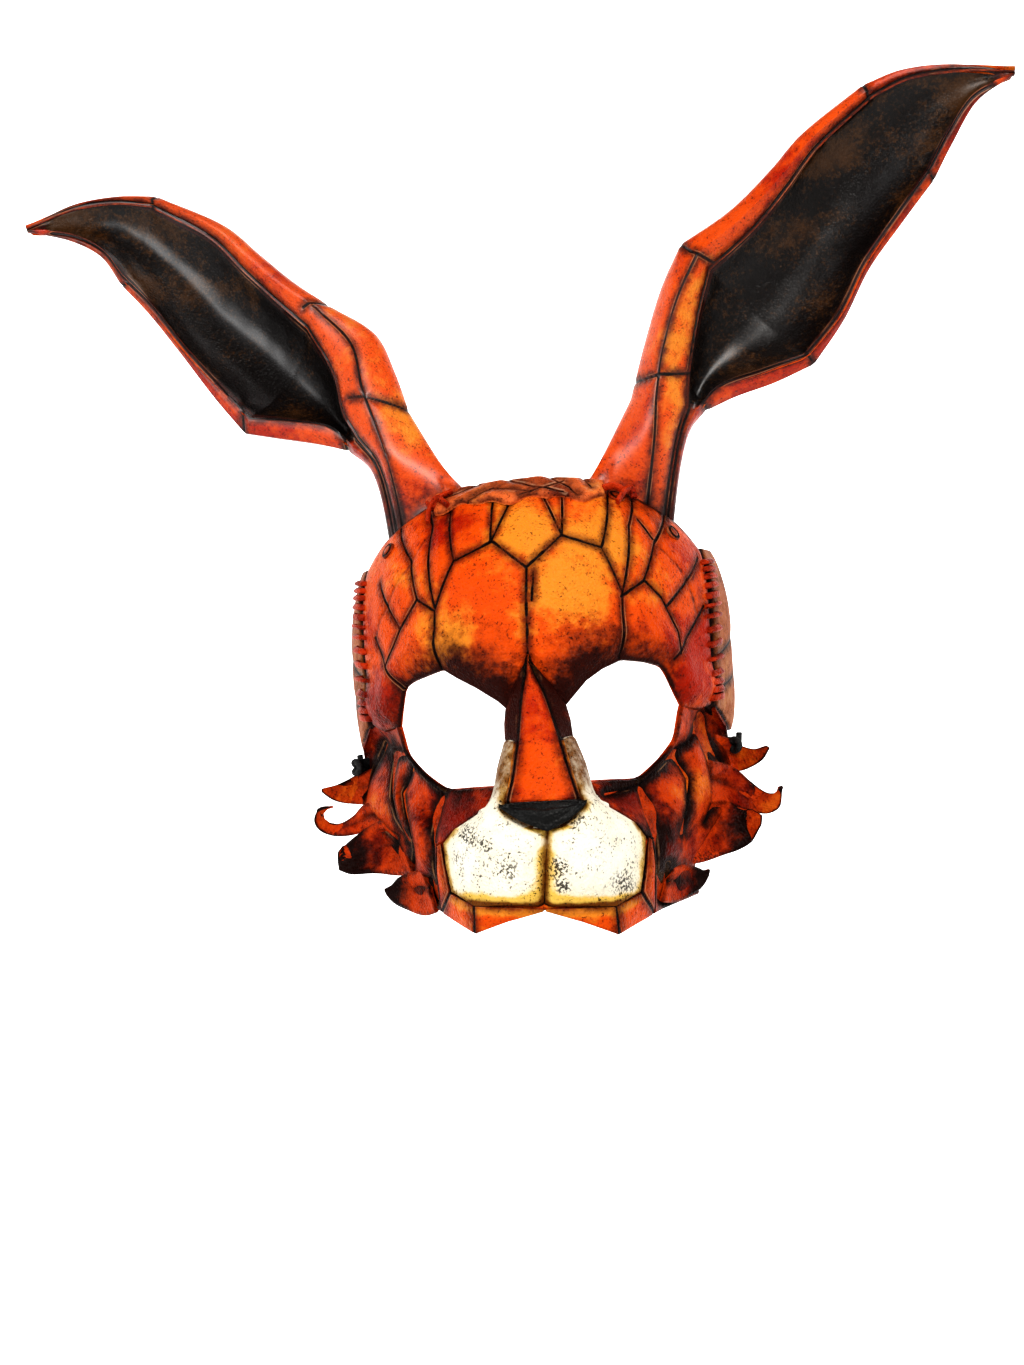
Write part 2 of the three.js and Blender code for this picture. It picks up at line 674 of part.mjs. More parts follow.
// Ear grid on the right: a flange behind the plate, the folded stalk and the cupped blade.
function earGrid(pose) {
  const turn = new THREE.Euler(radians(-pose.lean), radians(pose.droop), radians(pose.turn), 'ZYX');
  const root = vector(earSpread, -earSetback, earRise);
  const grid = [];
  const depthAt = (row, u) => {
    const fold = -row.fold * earFold;
    const hollow = row.hollow * earHollow;
    if (u <= row.ridge) return fold * (u / row.ridge) ** 0.7;
    const bank = fold * 0.45;
    const rim = fold * 0.4;
    if (u <= row.cupFrom) return THREE.MathUtils.mapLinear(u, row.ridge, row.cupFrom, fold, bank);
    if (u >= row.cupTo) return rim * (1 - (u - row.cupTo) / (1 - row.cupTo));
    const part = (u - row.cupFrom) / (row.cupTo - row.cupFrom);
    return THREE.MathUtils.lerp(bank, rim, part) + hollow * Math.sin(Math.PI * part) ** 0.8;
  };
  const section = (row) => {
    const stops = [0, row.ridge * 0.5, row.ridge, (row.ridge + row.cupFrom) / 2, row.cupFrom];
    const cup = [0.2, 0.5, 0.8].map((part) => THREE.MathUtils.lerp(row.cupFrom, row.cupTo, part));
    return [...stops, ...cup, row.cupTo, 1].map((u) => {
      const part = u + row.slump * pose.slump * (1 - u);
      const out = THREE.MathUtils.lerp(row.innerOut, row.outerOut, part) * earLength;
      const up = THREE.MathUtils.lerp(row.innerUp, row.outerUp, part) * earLength;
      return vector(out, depthAt(row, u), up).applyEuler(turn).add(root);
    });
  };
  const between = (a, b, part) => Object.fromEntries(
    Object.keys(a).map((key) => [key, THREE.MathUtils.lerp(a[key], b[key], part)]),
  );
  for (let k = 1; k < earSections.length; k += 1) {
    if (k > 2) grid.push(section(between(earSections[k - 1], earSections[k], 0.5)));
    grid.push(section(earSections[k]));
  }
  const crown = steps(grid[0].length - 1).map((u) => {
    const angles = lineAngles(crownLine, THREE.MathUtils.lerp(0.31, 0.88, u));
    return domePoint(angles.x, angles.y);
  });
  const inset = leather + tuck;
  const tucked = (point, drop) => {
    const lowered = point.clone().addScaledVector(Z, -drop).addScaledVector(Y, -drop * 0.25);
    const angles = domeAngles(
      Math.min(Math.abs(lowered.x) / headHalfWidth, 0.9),
      (lowered.z - domeMiddle) / domeHeight,
    );
    const onSurface = domePoint(angles.x, angles.y);
    return onSurface.addScaledVector(towardHead(onSurface), inset);
  };
  const flange = [flangeDrop, flangeDrop * 0.5, 0].map((drop) => crown.map((point) => tucked(point, drop)));
  return [...flange, ...grid];
}

// A rivet's seat on the plate, and the direction square to the leather there.
function rivetAxis(place) {
  const step = 0.01;
  const angles = domeAngles(place.across, place.rise);
  const seat = domePoint(angles.x, angles.y);
  const over = domePoint(angles.x + step, angles.y).sub(seat);
  const up = domePoint(angles.x, angles.y + step).sub(seat);
  return { seat, inward: up.cross(over).normalize() };
}

// Shank of a rivet, or the hole for it, through the plate and the ear's flange.
function rivetShank(place, radius) {
  const { seat, inward } = rivetAxis(place);
  const length = leather + tuck + earLeather + 4;
  const shank = new THREE.CylinderGeometry(radius, radius, length, 10);
  shank.applyQuaternion(new THREE.Quaternion().setFromUnitVectors(Y, inward));
  const middle = seat.clone().addScaledVector(inward, length / 2 - 2);
  return shank.translate(middle.x, middle.y, middle.z);
}

function rivet(place) {
  const { seat, inward } = rivetAxis(place);
  const top = -tuck - rivetHeadHeight;
  const foot = leather + tuck + earLeather + tuck + 0.6;
  const end = foot + rivetUpset;
  const profile = [
    [0, top],
    [rivetHeadRadius * 0.8, top],
    [rivetHeadRadius, -tuck],
    [rivetShankRadius, -tuck],
    [rivetShankRadius, foot],
    [rivetHeadRadius * 0.8, foot],
    [rivetHeadRadius * 0.7, end],
    [0, end],
  ].map(([radius, height]) => new THREE.Vector2(radius, height));
  const geometry = new THREE.LatheGeometry(profile, 8);
  geometry.applyQuaternion(new THREE.Quaternion().setFromUnitVectors(Y, inward));
  return geometry.translate(seat.x, seat.y, seat.z);
}

const group = new THREE.Group();
function add(name, geometry, material) {
  const mesh = new THREE.Mesh(geometry, material.clone());
  mesh.name = name;
  group.add(mesh);
}

const laceHoles = laceThong(laceRadius + laceClearance);
const rivetHoles = rivetPlaces.map((place) => rivetShank(place, rivetShankRadius + rivetClearance));
const plateCutters = [laceHoles, ...rivetHoles];
add('forehead_plate', cut(foreheadPlate(), [...plateCutters, ...plateCutters.map(mirrored)]), hide.orange);
add('nose_bridge', noseBridge(), hide.orange);
add('nose_tip', noseTip(), hide.black);
add('muzzle', muzzle(), hide.cream);
add('lip_rim', lipRim(), hide.orange);

for (const pose of earPoses) {
  const sided = pose.side > 0 ? (geometry) => toGeometry(toSolid(geometry)) : mirrored;
  add(`cheek_${pose.name}`, sided(cheek()), hide.red);
  add(`side_panel_${pose.name}`, sided(cut(sidePanel(), [laceHoles])), hide.brown);
  add(`lacing_${pose.name}`, sided(laceThong(laceRadius)), hide.red);
  add(`ear_${pose.name}`, sided(cut(sheet(earGrid(pose), earLeather, gridInward), rivetHoles)), hide.orange);
  for (const place of rivetPlaces) {
    add(`rivet_${pose.name}_${place.name}`, sided(rivet(place)), hide.orange);
  }
}

add('head_strap', headStrap(), hide.elastic);

export default group;
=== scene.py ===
import math
import bpy
import numpy as np
from mathutils import Matrix


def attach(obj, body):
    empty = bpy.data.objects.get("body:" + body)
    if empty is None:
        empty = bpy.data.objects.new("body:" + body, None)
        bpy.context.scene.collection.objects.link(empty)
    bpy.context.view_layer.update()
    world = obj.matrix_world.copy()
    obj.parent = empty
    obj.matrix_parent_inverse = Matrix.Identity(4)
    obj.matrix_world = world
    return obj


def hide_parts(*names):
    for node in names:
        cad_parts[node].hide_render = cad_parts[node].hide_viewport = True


# Leather rabbit mask. Shapes are worked out in millimetres in the model's own frame:
# X to the viewer's right, -Y out of the face, Z up, the origin in the middle of the wearer's head.
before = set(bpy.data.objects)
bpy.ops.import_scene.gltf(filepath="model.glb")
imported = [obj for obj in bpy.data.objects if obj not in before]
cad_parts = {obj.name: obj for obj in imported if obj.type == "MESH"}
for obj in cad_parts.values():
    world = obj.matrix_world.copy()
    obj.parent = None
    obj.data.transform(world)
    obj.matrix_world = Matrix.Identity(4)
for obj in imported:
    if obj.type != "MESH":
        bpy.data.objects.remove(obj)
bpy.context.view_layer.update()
scene = bpy.context.scene

head = {
    "halfWidth": 75.5, "halfDepth": 92.0, "height": 77.0, "middle": 6.0, "squareness": 2.6,
    "reach": 122.0, "drop": 90.5, "leather": 2.2,
}


# shapes shared by the pieces

def domePoint(azimuth, elevation):
    # rounded dome: out and up are the cosine and sine of the elevation, divided by their power sum
    up, out = np.sin(elevation), np.cos(elevation)
    power = head["squareness"]
    size = (np.abs(up) ** power + np.abs(out) ** power) ** (1 / power)
    return np.stack([
        head["halfWidth"] * out / size * np.sin(azimuth),
        -head["halfDepth"] * out / size * np.cos(azimuth),
        head["middle"] + head["height"] * up / size,
    ], -1)


def domeAngles(marks):
    # azimuth and elevation of the dome point that the front view shows at each (x, z)
    marks = np.asarray(marks, float)
    rise = (marks[..., 1] - head["middle"]) / head["height"]
    power = head["squareness"]
    girth = np.clip(1 - np.abs(rise) ** power, 1e-9, 1) ** (1 / power)
    across = np.clip(marks[..., 0] / head["halfWidth"] / girth, -1, 1)
    return np.stack([np.arcsin(across), np.arctan2(rise, girth)], -1)


def towardHead(points):
    # direction of the leather's thickness: mostly sideways to the middle, less back and down
    inward = points * np.array([-1, -0.45, -0.3])
    return inward / np.linalg.norm(inward, axis=-1, keepdims=True)


def along(points, shares, bend=0.0):
    # point at each share of a line's length, straight between its points at bend 0, cubic at bend 1
    points = np.asarray(points, float)
    lengths = np.concatenate([[0], np.cumsum(np.linalg.norm(np.diff(points, axis=0), axis=1))])
    place = np.clip(shares, 0, 1) * lengths[-1]
    i = np.clip(np.searchsorted(lengths, place, side="right") - 1, 0, len(points) - 2)
    span = (lengths[i + 1] - lengths[i])[..., None]
    t = (place - lengths[i])[..., None] / span
    chord = np.diff(points, axis=0) / np.diff(lengths)[:, None]
    turn = np.concatenate([chord[:1], (chord[1:] + chord[:-1]) / 2, chord[-1:]])
    straight = points[i] + (points[i + 1] - points[i]) * t
    cubic = (
        points[i] * (1 + 2 * t) * (1 - t) ** 2 + points[i + 1] * t * t * (3 - 2 * t)
        + span * (turn[i] * t * (1 - t) ** 2 - turn[i + 1] * t * t * (1 - t))
    )
    return straight + (cubic - straight) * bend


def patch(low, high, left, right):
    # surface between four edges: both ruled surfaces added, less the one through the corners
    u = np.linspace(0, 1, len(low))[None, :, None]
    v = np.linspace(0, 1, len(left))[:, None, None]
    ruled = low[None] * (1 - v) + high[None] * v + left[:, None] * (1 - u) + right[:, None] * u
    corners = (low[0] * (1 - u) + low[-1] * u) * (1 - v) + (high[0] * (1 - u) + high[-1] * u) * v
    return ruled - corners


def relaxed(grid, rounds):
    # each inner point moves to the mean of its four neighbours, so that folds round off
    grid = grid.copy()
    for _ in range(rounds):
        grid[1:-1, 1:-1] = (grid[2:, 1:-1] + grid[:-2, 1:-1] + grid[1:-1, 2:] + grid[1:-1, :-2]) / 4
    return grid


def distanceTo(places, lines):
    # least distance in millimetres from each flat place to any stretch of the lines
    least = np.full(places.shape[:-1], 1e3)
    for line in lines:
        line = np.asarray(line, float)
        for a, b in zip(line[:-1], line[1:]):
            t = np.clip(((places - a) @ (b - a)) / ((b - a) @ (b - a)), 0, 1)
            least = np.minimum(least, np.linalg.norm(places - a - t[..., None] * (b - a), axis=-1))
    return least


def borderDistance(grid):
    # millimetres along the grid's rows and columns to its nearest border
    across = np.linalg.norm(np.diff(grid, axis=1), axis=-1)
    down = np.linalg.norm(np.diff(grid, axis=0), axis=-1)
    left = np.pad(np.cumsum(across, 1), ((0, 0), (1, 0)))
    top = np.pad(np.cumsum(down, 0), ((1, 0), (0, 0)))
    return np.minimum(np.minimum(left, left[:, -1:] - left), np.minimum(top, top[-1:] - top))


def normalsOf(grid, inward):
    # square to the grid's rows and columns, on the side away from the head
    normal = np.cross(np.gradient(grid, axis=1), np.gradient(grid, axis=0))
    normal /= np.linalg.norm(normal, axis=-1, keepdims=True) + 1e-12
    side = np.sign(np.einsum("ijk,ijk->ij", normal, inward))
    return -normal * side[..., None]


def patches(places, rows):
    # sum of soft round patches, each (x, z, radius, strength)
    total = np.zeros(places.shape[:-1])
    for x, z, radius, strength in rows:
        total += strength * np.exp(-((places[..., 0] - x) ** 2 + (places[..., 1] - z) ** 2) / radius ** 2)
    return total


def ripple(points, size, seed):
    # smooth unevenness of hand-shaped leather: a sum of sines in fixed directions, about -1 to 1
    turns = np.random.default_rng(seed).normal(size=(7, 4))
    total = sum(np.sin(points @ (turn[:3] / size * 2) + turn[3] * 5) for turn in turns)
    return total / 4


def soften(value, low, high):
    # 0 below low, 1 above high, with a smooth rise between them
    t = np.clip((value - low) / (high - low), 0, 1)
    return t * t * (3 - 2 * t)


def handmade(points):
    # the lower face sits a little askew: it is turned level, and its middle leans to one side
    levels = [-92, -79, -56, -53, -41, -32, -20, -7, 8, 20]
    shifts = [0, 0, 2.4, 2.8, 1.9, 1.6, 1.0, 0, -1.6, 0]
    points = points.copy()
    lean = np.interp(points[..., 2], levels, shifts) * np.exp(-(points[..., 0] / 30) ** 2)
    drop = -0.061 * points[..., 0] * soften(-points[..., 2], 35, 85)
    points[..., 0] += lean
    points[..., 2] += drop
    return points


def makePiece(name, points, faces, material, tooling=None, node=None, sharp=38):
    # mesh from points in millimetres and a list of face index arrays, turned to face outwards
    mesh = bpy.data.meshes.new(name)
    loops = np.concatenate([block.ravel() for block in faces])
    sizes = np.concatenate([np.full(len(block), block.shape[1]) for block in faces])
    fan = np.concatenate([block[:, [0, k, k + 1]] for block in faces for k in range(1, block.shape[1] - 1)])
    a, b, c = points[fan[:, 0]], points[fan[:, 1]], points[fan[:, 2]]
    starts = np.concatenate([[0], np.cumsum(sizes)[:-1]])
    if np.einsum("ij,ij->", a, np.cross(b, c)) < 0:
        loops = np.concatenate([block[:, ::-1].ravel() for block in faces])
    mesh.vertices.add(len(points))
    mesh.vertices.foreach_set("co", (points * 0.001).astype(np.float32).ravel())
    mesh.loops.add(len(loops))
    mesh.loops.foreach_set("vertex_index", loops.astype(np.int32))
    mesh.polygons.add(len(sizes))
    mesh.polygons.foreach_set("loop_start", starts.astype(np.int32))
    mesh.update(calc_edges=True)
    mesh.validate()
    mesh.shade_smooth()
    mesh.set_sharp_from_angle(angle=math.radians(sharp))
    if tooling is not None:
        layer = mesh.attributes.new("tooling", "FLOAT_VECTOR", "POINT")
        layer.data.foreach_set("vector", tooling.astype(np.float32).ravel())
    mesh.materials.append(material)
    piece = bpy.data.objects.new(name, mesh)
    scene.collection.objects.link(piece)
    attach(piece, "root")
    if node:
        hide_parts(node)
    return piece


def leatherShell(name, base, outer, marks, coarse, material, node=None, thickness=None,
                 inward=None):
    # closed leather: fine outer grid, coarse inner grid laid off inwards, and stitched rims
    rows, columns = base.shape[:2]
    inward = towardHead(base) if inward is None else inward
    depth = head["leather"] if thickness is None else thickness
    depth = np.broadcast_to(depth, (rows, columns))[..., None]
    inner = (base + inward * depth)[::coarse, ::coarse]
    fine = np.arange(rows * columns).reshape(rows, columns)
    count = rows * columns
    back = count + np.arange(inner.shape[0] * inner.shape[1]).reshape(inner.shape[:2])

    def quads(index, turned):
        corners = [index[:-1, :-1], index[:-1, 1:], index[1:, 1:], index[1:, :-1]]
        block = np.stack([corner.ravel() for corner in corners], 1)
        return block[:, ::-1] if turned else block

    triangles = []
    rims = [
        (fine[0], back[0], True), (fine[-1], back[-1], False),
        (fine[:, 0], back[:, 0], False), (fine[:, -1], back[:, -1], True),
    ]
    for edge, behind, turned in rims:
        steps = np.arange(len(behind) - 1)
        for k in range(coarse):
            block = np.stack([behind[steps], edge[steps * coarse + k], edge[steps * coarse + k + 1]], 1)
            triangles.append(block[:, ::-1] if turned else block)
        block = np.stack([behind[steps], edge[(steps + 1) * coarse], behind[steps + 1]], 1)
        triangles.append(block[:, ::-1] if turned else block)
    rim = np.concatenate(triangles)
    points = np.concatenate([outer.reshape(-1, 3), inner.reshape(-1, 3)])
    # the side towards the head is paler and plain
    hidden = marks[::coarse, ::coarse].reshape(-1, 3) * [0, 0.4, 0.2] + [9, -0.35, 0.1]
    tooling = np.concatenate([marks.reshape(-1, 3), hidden])
    return makePiece(name, points, [quads(fine, True), quads(back, False), rim[:, ::-1]],
                     material, tooling, node)


def tooled(grid, inward, groove, pillow=0.5, reach=4.0, cut=0.45, width=0.55, edge=0.7):
    # leather between tooled lines swells a little, each line is pressed in and borders round off
    border = borderDistance(grid)
    near = np.minimum(groove, border)
    lift = pillow * (1 - np.exp(-((near / reach) ** 2))) - cut * np.exp(-((groove / width) ** 2))
    rest = np.clip(1 - border / edge, 0, 1)
    lift -= edge * (1 - np.sqrt(1 - rest ** 2))
    return normalsOf(grid, inward) * lift[..., None], border


# materials

def linear(code):
    # sRGB hex to linear colour
    values = [int(code[k:k + 2], 16) / 255 for k in (0, 2, 4)]
    return [v / 12.92 if v <= 0.04045 else ((v + 0.055) / 1.055) ** 2.4 for v in values] + [1.0]


def newMaterial(name):
    material = bpy.data.materials.new(name)
    material.use_nodes = True
    material.node_tree.nodes.clear()
    return material


def addNode(material, kind, inputs, output=0, **settings):
    # one node with its settings; an input is a value or another node's output, given by name or in the
    # node's own order, and the one output that is wanted comes back
    node = material.node_tree.nodes.new(kind)
    for key, value in settings.items():
        setattr(node, key, value)
    for key, value in inputs.items() if isinstance(inputs, dict) else enumerate(inputs):
        if isinstance(value, bpy.types.NodeSocket):
            material.node_tree.links.new(value, node.inputs[key])
        else:
            node.inputs[key].default_value = value
    return node.outputs[output] if len(node.outputs) else node


def dyedLeather(name, look):
    # vegetable-tanned leather, hand dyed and glazed: mottled dye, dark burnished lines, fine pores
    leather = newMaterial(name)
    sums, ramp, mix = "ShaderNodeMath", "ShaderNodeMapRange", "ShaderNodeMix"
    smooth = {"interpolation_type": "SMOOTHSTEP"}
    product, scaledSum = {"operation": "MULTIPLY"}, {"operation": "MULTIPLY_ADD"}
    place = addNode(leather, "ShaderNodeTexCoord", [], "Object")
    tooling = addNode(leather, "ShaderNodeAttribute", [], "Vector", attribute_name="tooling")
    groove, dye, burn = (addNode(leather, "ShaderNodeSeparateXYZ", [tooling], axis) for axis in "XYZ")
    # unevenness by its size in metres, detail and roughness: dye blotches about 20 mm across,
    # smaller stains, the nap, glints in the cups and specks
    cloud, stain, nap, glint, speck = (
        addNode(leather, "ShaderNodeTexNoise", {
            "Vector": place, "Scale": 1 / size, "Detail": detail, "Roughness": roughness,
        }, "Fac")
        for size, detail, roughness in (
            (0.022, 5, 0.55), (0.005, 6, 0.65), (0.0016, 3, 0.55), (0.0013, 3, 0.55), (0.0009, 2, 0.55),
        )
    )
    # tone runs from -1 for gold to 1 for red, shade from 0 for plain to 1 for burnt; the burn marks also
    # carry painted shade on some pieces
    cloudy = addNode(leather, ramp, [cloud, 0.3, 0.7, -0.35, 0.35], **smooth)
    stained = addNode(leather, ramp, [stain, 0.25, 0.75, -0.3, 0.3], **smooth)
    tone = addNode(leather, sums, [addNode(leather, sums, [dye, cloudy]), stained])
    scorched = addNode(leather, ramp, [stain, 0.3, 0.7, -0.18, 0.18], **smooth)
    shade = addNode(leather, sums, [burn, scorched])
    # burnished wash within 4 mm of the tooled lines
    near = addNode(leather, ramp, [groove, 0.6, 4.0, 0.8, 0.0], **smooth)
    patchy = addNode(leather, ramp, [stain, 0.3, 0.6, 0.5, 1.0], **smooth)
    wash = addNode(leather, sums, [near, patchy], **product)
    # specks lie in stained places, and thickest where groove distances above 10 mark a cluster
    cluster = addNode(leather, ramp, [groove, 10.0, 14.0], **smooth)
    dots = addNode(leather, sums, [cluster, 0.1, speck], **scaledSum)
    dotted = addNode(leather, ramp, [dots, 0.56, 0.66], **smooth)
    speckled = addNode(leather, ramp, [stain, 0.42, 0.6, 0.1, 1.0], **smooth)
    speckled = addNode(leather, sums, [speckled, cluster], operation="MAXIMUM")
    fleck = addNode(leather, sums, [dotted, speckled], **product)
    specks = addNode(leather, sums, [fleck, look["fleck"]], **product)
    # painted highlight on the bevels: a pale band about 1 mm from some of the lines
    outside = addNode(leather, ramp, [groove, 0.6, 0.75], **smooth)
    inside = addNode(leather, ramp, [groove, 1.15, 0.9], **smooth)
    some = addNode(leather, ramp, [cloud, 0.5, 0.6, 0.0, look["bevelHighlightStrength"]], **smooth)
    paintedBevelHighlight = addNode(leather, sums, [addNode(leather, sums, [outside, inside], **product), some], **product)
    # the lines themselves, with a ragged border
    ragged = addNode(leather, ramp, [stain, 0.3, 0.7, -0.25, 0.3], **smooth)
    ragged = addNode(leather, sums, [groove, ragged])
    layers = [
        (addNode(leather, ramp, [tone, -1.0, -0.1], **smooth), "orange"),
        (addNode(leather, ramp, [tone, 0.0, 0.9], **smooth), "red"),
        (addNode(leather, ramp, [shade, 0.08, 0.95], **smooth), "burnt"),
        (wash, "burnt"), (specks, "dark"), (paintedBevelHighlight, "cut"),
        (addNode(leather, ramp, [ragged, 0.75, 0.3], **smooth), "dark"),
    ]
    colour = linear(look["gold"])
    for share, dyeName in layers:
        colours = {0: share, 6: colour, 7: linear(look[dyeName])}
        colour = addNode(leather, mix, colours, 2, data_type="RGBA")
    # ear cups, which burn marks above 1.5, are black with brown glints
    cup = addNode(leather, ramp, [burn, 1.4, 1.6], **smooth)
    glint = addNode(leather, ramp, [glint, 0.5, 0.62, 0.0, 0.5], **smooth)
    light = addNode(leather, ramp, [addNode(leather, sums, [tone, glint]), 0.3, 1.2], **smooth)
    colours = {0: light, 6: linear(look["cup"]), 7: linear(look["cupLight"])}
    deep = addNode(leather, mix, colours, 2, data_type="RGBA")
    colour = addNode(leather, mix, {0: cup, 6: colour, 7: deep}, 2, data_type="RGBA")

    pore = addNode(leather, "ShaderNodeTexVoronoi", {"Vector": place, "Scale": 1 / look["pore"]}, "Distance")
    relief = addNode(leather, sums, [pore, 0.6], **product)
    relief = addNode(leather, sums, [stain, 1.2, relief], **scaledSum)
    relief = addNode(leather, sums, [nap, 0.7, relief], **scaledSum)
    bumps = {"Strength": look["bump"], "Distance": 0.0005, "Height": relief}
    bump = addNode(leather, "ShaderNodeBump", bumps)
    worn = addNode(leather, sums, [fleck, 0.4, stain], **scaledSum)
    rough = addNode(leather, ramp, [worn, 0.3, 0.9, look["gloss"], look["matt"]], **smooth)
    rough = addNode(leather, sums, [cup, -0.12, rough], **scaledSum)
    shader = addNode(leather, "ShaderNodeBsdfPrincipled", {
        "Base Color": colour, "Roughness": rough, "Normal": bump, "IOR": 1.45,
        "Specular IOR Level": look["shine"], "Coat Weight": look["coat"], "Coat Roughness": look["coatRough"],
    })
    addNode(leather, "ShaderNodeOutputMaterial", {"Surface": shader})
    return leather


# pore is their spacing in metres; gloss and matt are the roughness of clean and of specked leather
# cut is the colour of the painted highlight on the bevels beside the tooled lines
leatherLook = {
    "gold": "d4842c", "orange": "cb500c", "red": "a02405", "burnt": "34110a", "dark": "120604",
    "cut": "e0a878", "cup": "0b0504", "cupLight": "402811", "bevelHighlightStrength": 0.25, "pore": 0.001,
    "fleck": 0.7, "bump": 0.95, "gloss": 0.3, "matt": 0.5, "shine": 0.1, "coat": 0.0, "coatRough": 0.2,
}
# dyed in golden, orange and red washes under a thin glaze: bright, with a faint even shine
faceLeather = dyedLeather("dyed leather, orange", leatherLook)
# waxed harder than the face, so that the dark cups catch broad lights
earLeather = dyedLeather("waxed leather, orange with black cups", {
    **leatherLook, "coat": 0.7, "coatRough": 0.36,
})
# dyed darker and burnished more: red-brown facets between nearly black creases, whose valleys also carry
# painted shade
cheekLeather = dyedLeather("dyed leather, red-brown", {
    **leatherLook, "gold": "cc7020", "orange": "b8420c", "red": "7c1a06", "burnt": "1e0905",
})
# thin dye without glaze: dull and brown
panelLeather = dyedLeather("dyed leather, worn brown", {
    **leatherLook, "gold": "a86c30", "orange": "9a521e", "red": "5c2810", "burnt": "2b1610",
    "gloss": 0.45, "matt": 0.65,
})
# handled where it was folded: the dye is rubbed pale
foldLeather = dyedLeather("worn leather, rubbed folds", {
    **leatherLook, "gold": "dc8a48", "orange": "cc6a38", "red": "9c4222", "burnt": "3c1c14", "cut": "f0c4a0",
})
# undyed and bleached, burnt at the edges: cream with yellow and brown borders, nearly matt
creamLeather = dyedLeather("cream leather, burnt edges", {
    **leatherLook, "gold": "ebe6d8", "orange": "e0d9c6", "red": "d8b45a", "burnt": "6a3d10",
    "dark": "1a1410", "fleck": 0.9, "bevelHighlightStrength": 0.0, "gloss": 0.42, "matt": 0.6,
})
# dyed black through and polished: one dark tone with a soft light on it
blackLeather = dyedLeather("black leather", {
    **leatherLook, "gold": "1b1b1a", "orange": "131312", "red": "0c0b0b", "burnt": "050505",
    "dark": "020202", "bevelHighlightStrength": 0.0, "gloss": 0.35, "matt": 0.5, "shine": 0.25, "bump": 0.8,
})
# narrow strip, dyed red and waxed by use: an even red cord
thongLeather = dyedLeather("waxed leather thong", {**leatherLook, "orange": "b03a14", "red": "7c1d0a"})
print("materials made")

# forehead plate

